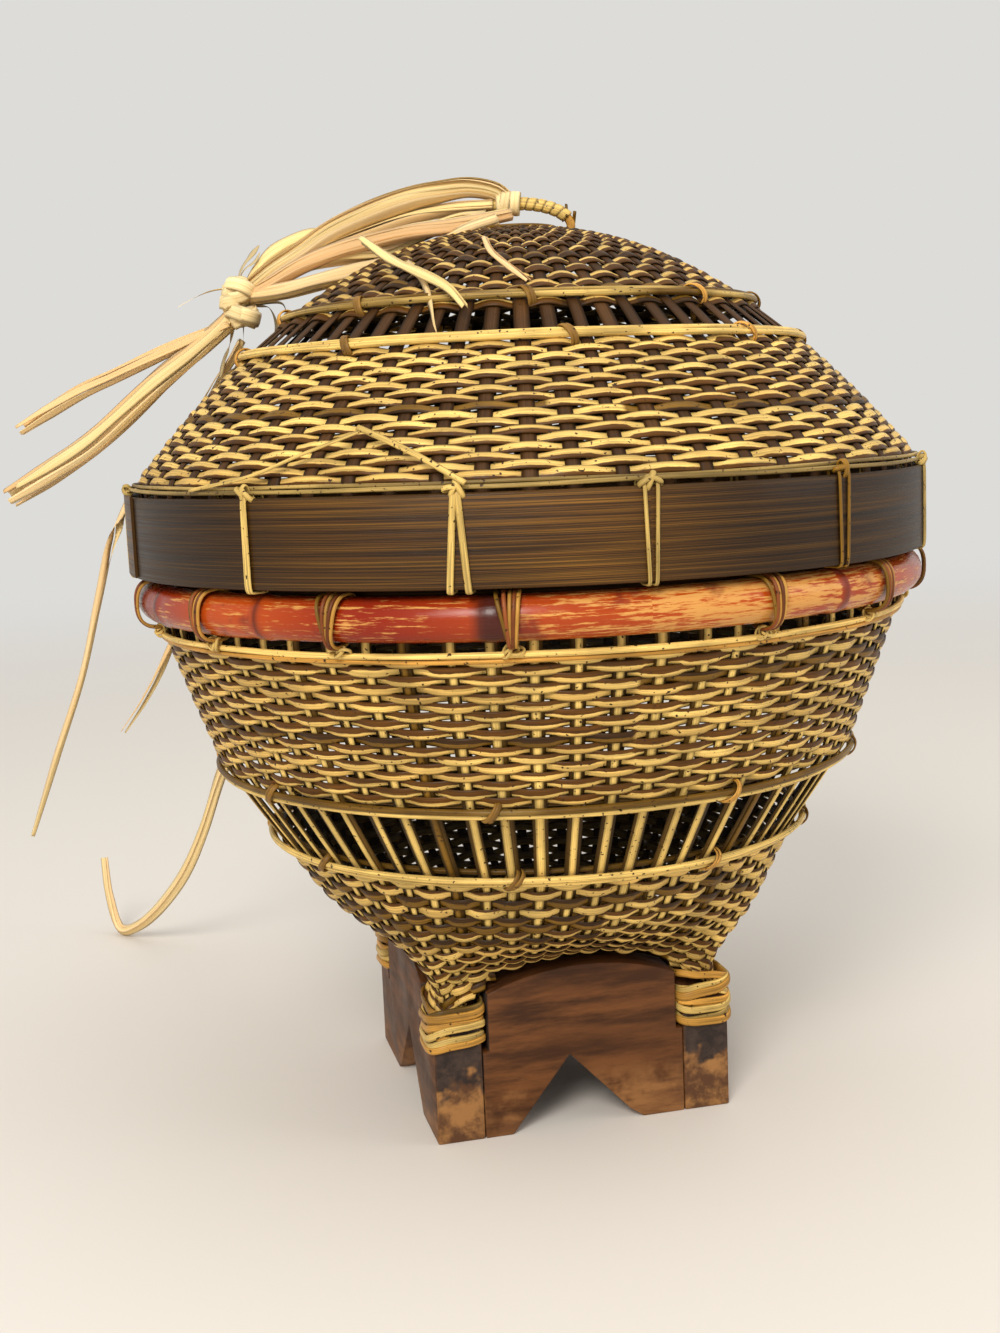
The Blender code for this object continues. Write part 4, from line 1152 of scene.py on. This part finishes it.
def ribbon(bundle, path, rng, width, tint, lean=None, end=1.0, tips=(1.0, 1.0)):
    """A flat ribbon along a path, folded a little down its middle. It faces lean, or slowly turns if
    none is given; tips is its width at its two ends as a share of its full width."""
    pick = slice(0, max(int(end * len(path)), 5))
    path = path[pick]
    t = np.linspace(0, 1, len(path))
    if lean is None:
        spin = rng.uniform(0, FULL)
        lean = np.stack([np.cos(spin + 1.4 * t), np.sin(spin + 1.4 * t), 0.7 + 0 * t], axis=-1)
    else:
        lean = lean[pick]
    side, out = line_frames(path, lean)
    taper = np.minimum(*(tip + (1 - tip) * np.clip(share * 7, 0, 1) for tip, share in zip(tips, (t, 1 - t))))
    taper = taper * (1 + 0.12 * np.sin(FULL * (2.3 * t + rng.uniform())))
    fold = rng.uniform(-0.05, 0.16)
    outline = np.array([(-0.5, 0), (-0.25, fold * 0.6), (0, fold), (0.25, fold * 0.6), (0.5, 0),
                        (0, fold - 0.07)])
    section = outline[None] * (width * taper)[:, None, None]
    bundle.add(carry(path, side, out, section), tint, across=np.array((0, 0.25, 0.5, 0.75, 1, 0.5)))


def raffia_bundle(name, route, diameter, ribbons, width, twist, end):
    """Broad ribbons laid round one line like petals: each keeps its own direction from the line, which
    turns by the twist over the length, and faces that way."""
    rng = draws(name)
    bundle = Bundle()
    t = np.linspace(0, 1, len(route))
    side, out = line_frames(route, (0.2, 0.1, 1))
    flare = LOOSE_SPREAD.get(name, 0.0)
    for k in range(ribbons):
        spin = k * 2.4 + rng.uniform(-0.3, 0.3)
        reach = diameter * (0.30 + 0.20 * rng.uniform()) * (0 if ribbons == 1 else 1)
        spread = reach * (0.75 + 0.25 * np.sin(math.pi * t)) * (1 + flare * t ** 2)
        turn = spin + twist * t + rng.uniform(-0.4, 0.4) * np.sin(math.pi * t)
        away = side * np.cos(turn)[:, None] + out * np.sin(turn)[:, None]
        tone = rng.uniform(0.82, 1.06) * np.array((1, rng.uniform(0.92, 1.01), rng.uniform(0.82, 1.02)))
        if rng.uniform() < 0.2:
            tone = tone * (0.96, 0.86, 0.80)
        tips = (1.0, 0.6) if end == "bare" else (0.9, 0.8)
        stop = rng.uniform(0.93, 1.0) if k % 2 and ribbons > 4 and end == "bare" else 1.0
        ribbon(bundle, route + away * spread[:, None], rng, width * rng.uniform(0.65, 1.1), RAFFIA * tone,
               away, stop, tips)
    return bundle


def raffia(palm):
    for name, (diameter, ribbons, width, twist, end, points) in RAFFIA_ROUTES.items():
        diameter = diameter * MM
        route = view_route(points, 2 * MM)
        bundle = raffia_bundle(name, route, diameter, ribbons, width * MM, twist, end)
        replaced = [name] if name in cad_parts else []
        piece = bundle.piece(name + "_ribbons", palm, "raffia", "lid", replaced)


def raffia_tie(palm):
    """Turns of ribbon round the handle's bar."""
    rng = draws("raffia tie")
    bundle = Bundle()
    along, across = directions(HANDLE_ANGLE)
    bar = np.array((0, 0, HANDLE_CENTRE_Z + HANDLE_RISE))
    for k in range(5):
        size = rng.uniform(3.7, 4.9) * MM
        second = (UP + along * rng.uniform(-0.3, 0.3)) * size
        bundle.loop(bar + along * (-4.6 + 1.35 * k) * MM, across * size, second, 4.2 * MM, 0.5 * MM,
                    RAFFIA * rng.uniform(0.85, 1.08), samples=24)
    bundle.piece("raffia_tie_turns", palm, "raffia", "lid", ["raffia_tie"])


KNOT_LUMPS = (((-112.8, -1, 335.5), 5.6), ((-111, -1, 325.2), 6.2), ((-114.5, -1, 330.5), 5.0))
KNOT_ENDS = (
    # (width, shade, points (across, back, up) in the turned frame)
    (2.6, 0.55, ((-113.6, 0, 338), (-111.3, 3, 345.1), (-108.1, 5, 349.5), (-104.3, 6, 354))),
    (1.4, 0.6, ((-113.6, 0, 338), (-110.3, 2, 344.1), (-106.1, 4, 347.5), (-104, 5, 351))),
    (1.1, 0.9, ((-115, -2, 337), (-123.1, -3, 336), (-130.2, -3, 333.6), (-137.5, -3, 330))),
    (2.4, 0.36, ((-107, 4, 331), (-101, 8, 331.5), (-96.3, 10, 330.3), (-96.1, 12, 325), (-99.4, 13, 319.5),
                 (-104, 14, 313.5))),
    (2.0, 0.42, ((-107, 4, 330), (-102, 9, 329), (-100, 12, 322), (-102, 13, 315), (-107, 14, 309))),
    (3.4, 0.62, ((-116, 2, 323), (-118.6, 5, 314.6), (-121.8, 7, 308.7), (-124.1, 8, 301.5))),
    (1.4, 0.6, ((-112, 2, 322), (-113.2, 5, 314.4), (-115, 6, 307.4))),
)


def raffia_knot(palm):
    """Three lumps of crossing ribbon turns, with a few short ends."""
    rng = draws("raffia knot")
    bundle = Bundle()
    for place, size in KNOT_LUMPS:
        for _k in range(8):
            spin = rng.uniform(0, FULL)
            lean = rng.uniform(-0.6, 0.6)
            first = np.array((math.cos(spin), math.sin(spin), lean)) * size * MM * rng.uniform(0.8, 1.0)
            second = np.cross(unit(first), UP + rng.uniform(-0.7, 0.7, 3))
            second = second * size * MM * rng.uniform(0.75, 1.0)
            centre = view_point(*place) + rng.uniform(-0.7, 0.7, 3) * MM
            bundle.loop(centre, first, second, 5.6 * MM, 0.6 * MM, RAFFIA * rng.uniform(0.85, 1.08),
                        samples=26)
    for width, shade, points in KNOT_ENDS:
        ribbon(bundle, view_route(points, MM), rng, width * MM, RAFFIA * shade, tips=(1.0, 0.4))
    bundle.piece("raffia_knot_turns", palm, "raffia", "lid", ["raffia_knot"])


# ---- setting ----

FLOOR_REACH = 12.0
FLOOR_PAINT = (0.72, 0.68, 0.63)
LAMP_TARGET = np.array((0.0, 0.0, 0.18))
LAMPS = (
    # (name, place, size, power, colour)
    ("window", (-0.9, -1.7, 1.5), 0.8, 40, (1.0, 0.96, 0.90)),
    ("ceiling", (0.3, -0.3, 2.4), 1.6, 9, (1.0, 0.97, 0.93)),
    ("far_side", (1.8, -0.9, 1.0), 1.0, 6, (1.0, 0.98, 0.95)),
)


def looking(spot, ahead, roll):
    """Placement of something at a spot whose -Z looks ahead, rolled about its own line of sight."""
    ahead = unit(np.asarray(ahead, float))
    right = unit(np.cross(ahead, (0, 0, 1)))
    up = np.cross(right, ahead)
    turned_right = right * math.cos(roll) + up * math.sin(roll)
    turned_up = up * math.cos(roll) - right * math.sin(roll)
    columns = np.stack([turned_right, turned_up, -ahead, np.asarray(spot, float)], axis=1)
    return Matrix([list(row) for row in columns] + [[0, 0, 0, 1]])


def put(name, data, placement=None):
    obj = bpy.data.objects.new(name, data)
    if placement is not None:
        obj.matrix_world = placement
    bpy.context.scene.collection.objects.link(obj)
    return obj


def studio():
    """A pale floor and soft lights."""
    mesh = bpy.data.meshes.new("floor")
    corners = [(-1, -1), (1, -1), (1, 1), (-1, 1)]
    mesh.from_pydata([(x * FLOOR_REACH, y * FLOOR_REACH, 0) for x, y in corners], [], [(0, 1, 2, 3)])
    mesh.materials.append(floor_finish("floor_paint", FLOOR_PAINT))
    obj = put("floor", mesh)
    world = bpy.data.worlds.new("room")
    world.use_nodes = True
    light = world.node_tree.nodes["Background"]
    light.inputs[0].default_value = (*ROOM_LIGHT, 1)
    light.inputs[1].default_value = ROOM_STRENGTH
    bpy.context.scene.world = world
    for name, spot, size, power, colour in LAMPS:
        lamp = bpy.data.lights.new(name, "AREA")
        lamp.size = size
        lamp.energy = power
        lamp.color = colour
        put(name, lamp, looking(spot, LAMP_TARGET - np.array(spot), 0.0))
    bpy.context.scene.view_settings.view_transform = "Standard"


def camera():
    distance = 0.6843
    heading = VIEW_TURN + math.radians(1.0883)
    pitch = math.radians(8.3454)
    spot = (distance * math.sin(VIEW_TURN), -distance * math.cos(VIEW_TURN), 0.2778)
    ahead = (-math.sin(heading) * math.cos(pitch), math.cos(heading) * math.cos(pitch), -math.sin(pitch))
    lens = bpy.data.cameras.new("camera")
    lens.lens = 44.56
    lens.sensor_width = 36
    lens.sensor_fit = "AUTO"
    obj = bpy.data.objects.new("camera", lens)
    obj.matrix_world = looking(spot, ahead, math.radians(-2.3906))
    bpy.context.scene.collection.objects.link(obj)
    bpy.context.scene.camera = obj


def main():
    camera()
    studio()
    palm = raffia_finish("raffia_ribbon")
    raffia(palm)
    raffia_tie(palm)
    raffia_knot(palm)
    cane = cane_finish("split_cane")
    stake_cane = cane_finish("stake_cane", 0.55, 0.4, 0.0)
    lid_weave(cane)
    lid_stakes(stake_cane)
    bowl_weave(cane)
    bowl_stakes(stake_cane)
    bowl_floor(cane)
    hoops(cane)
    bands(band_finish("smoked_bamboo"), cane)
    rim_pole(pole_finish("red_lacquer"))
    rim_lashings(cane)
    band_lashings(cane)
    stray_strand(cane)
    handle(cane)
    corner_bindings(cane)
    stand()


main()
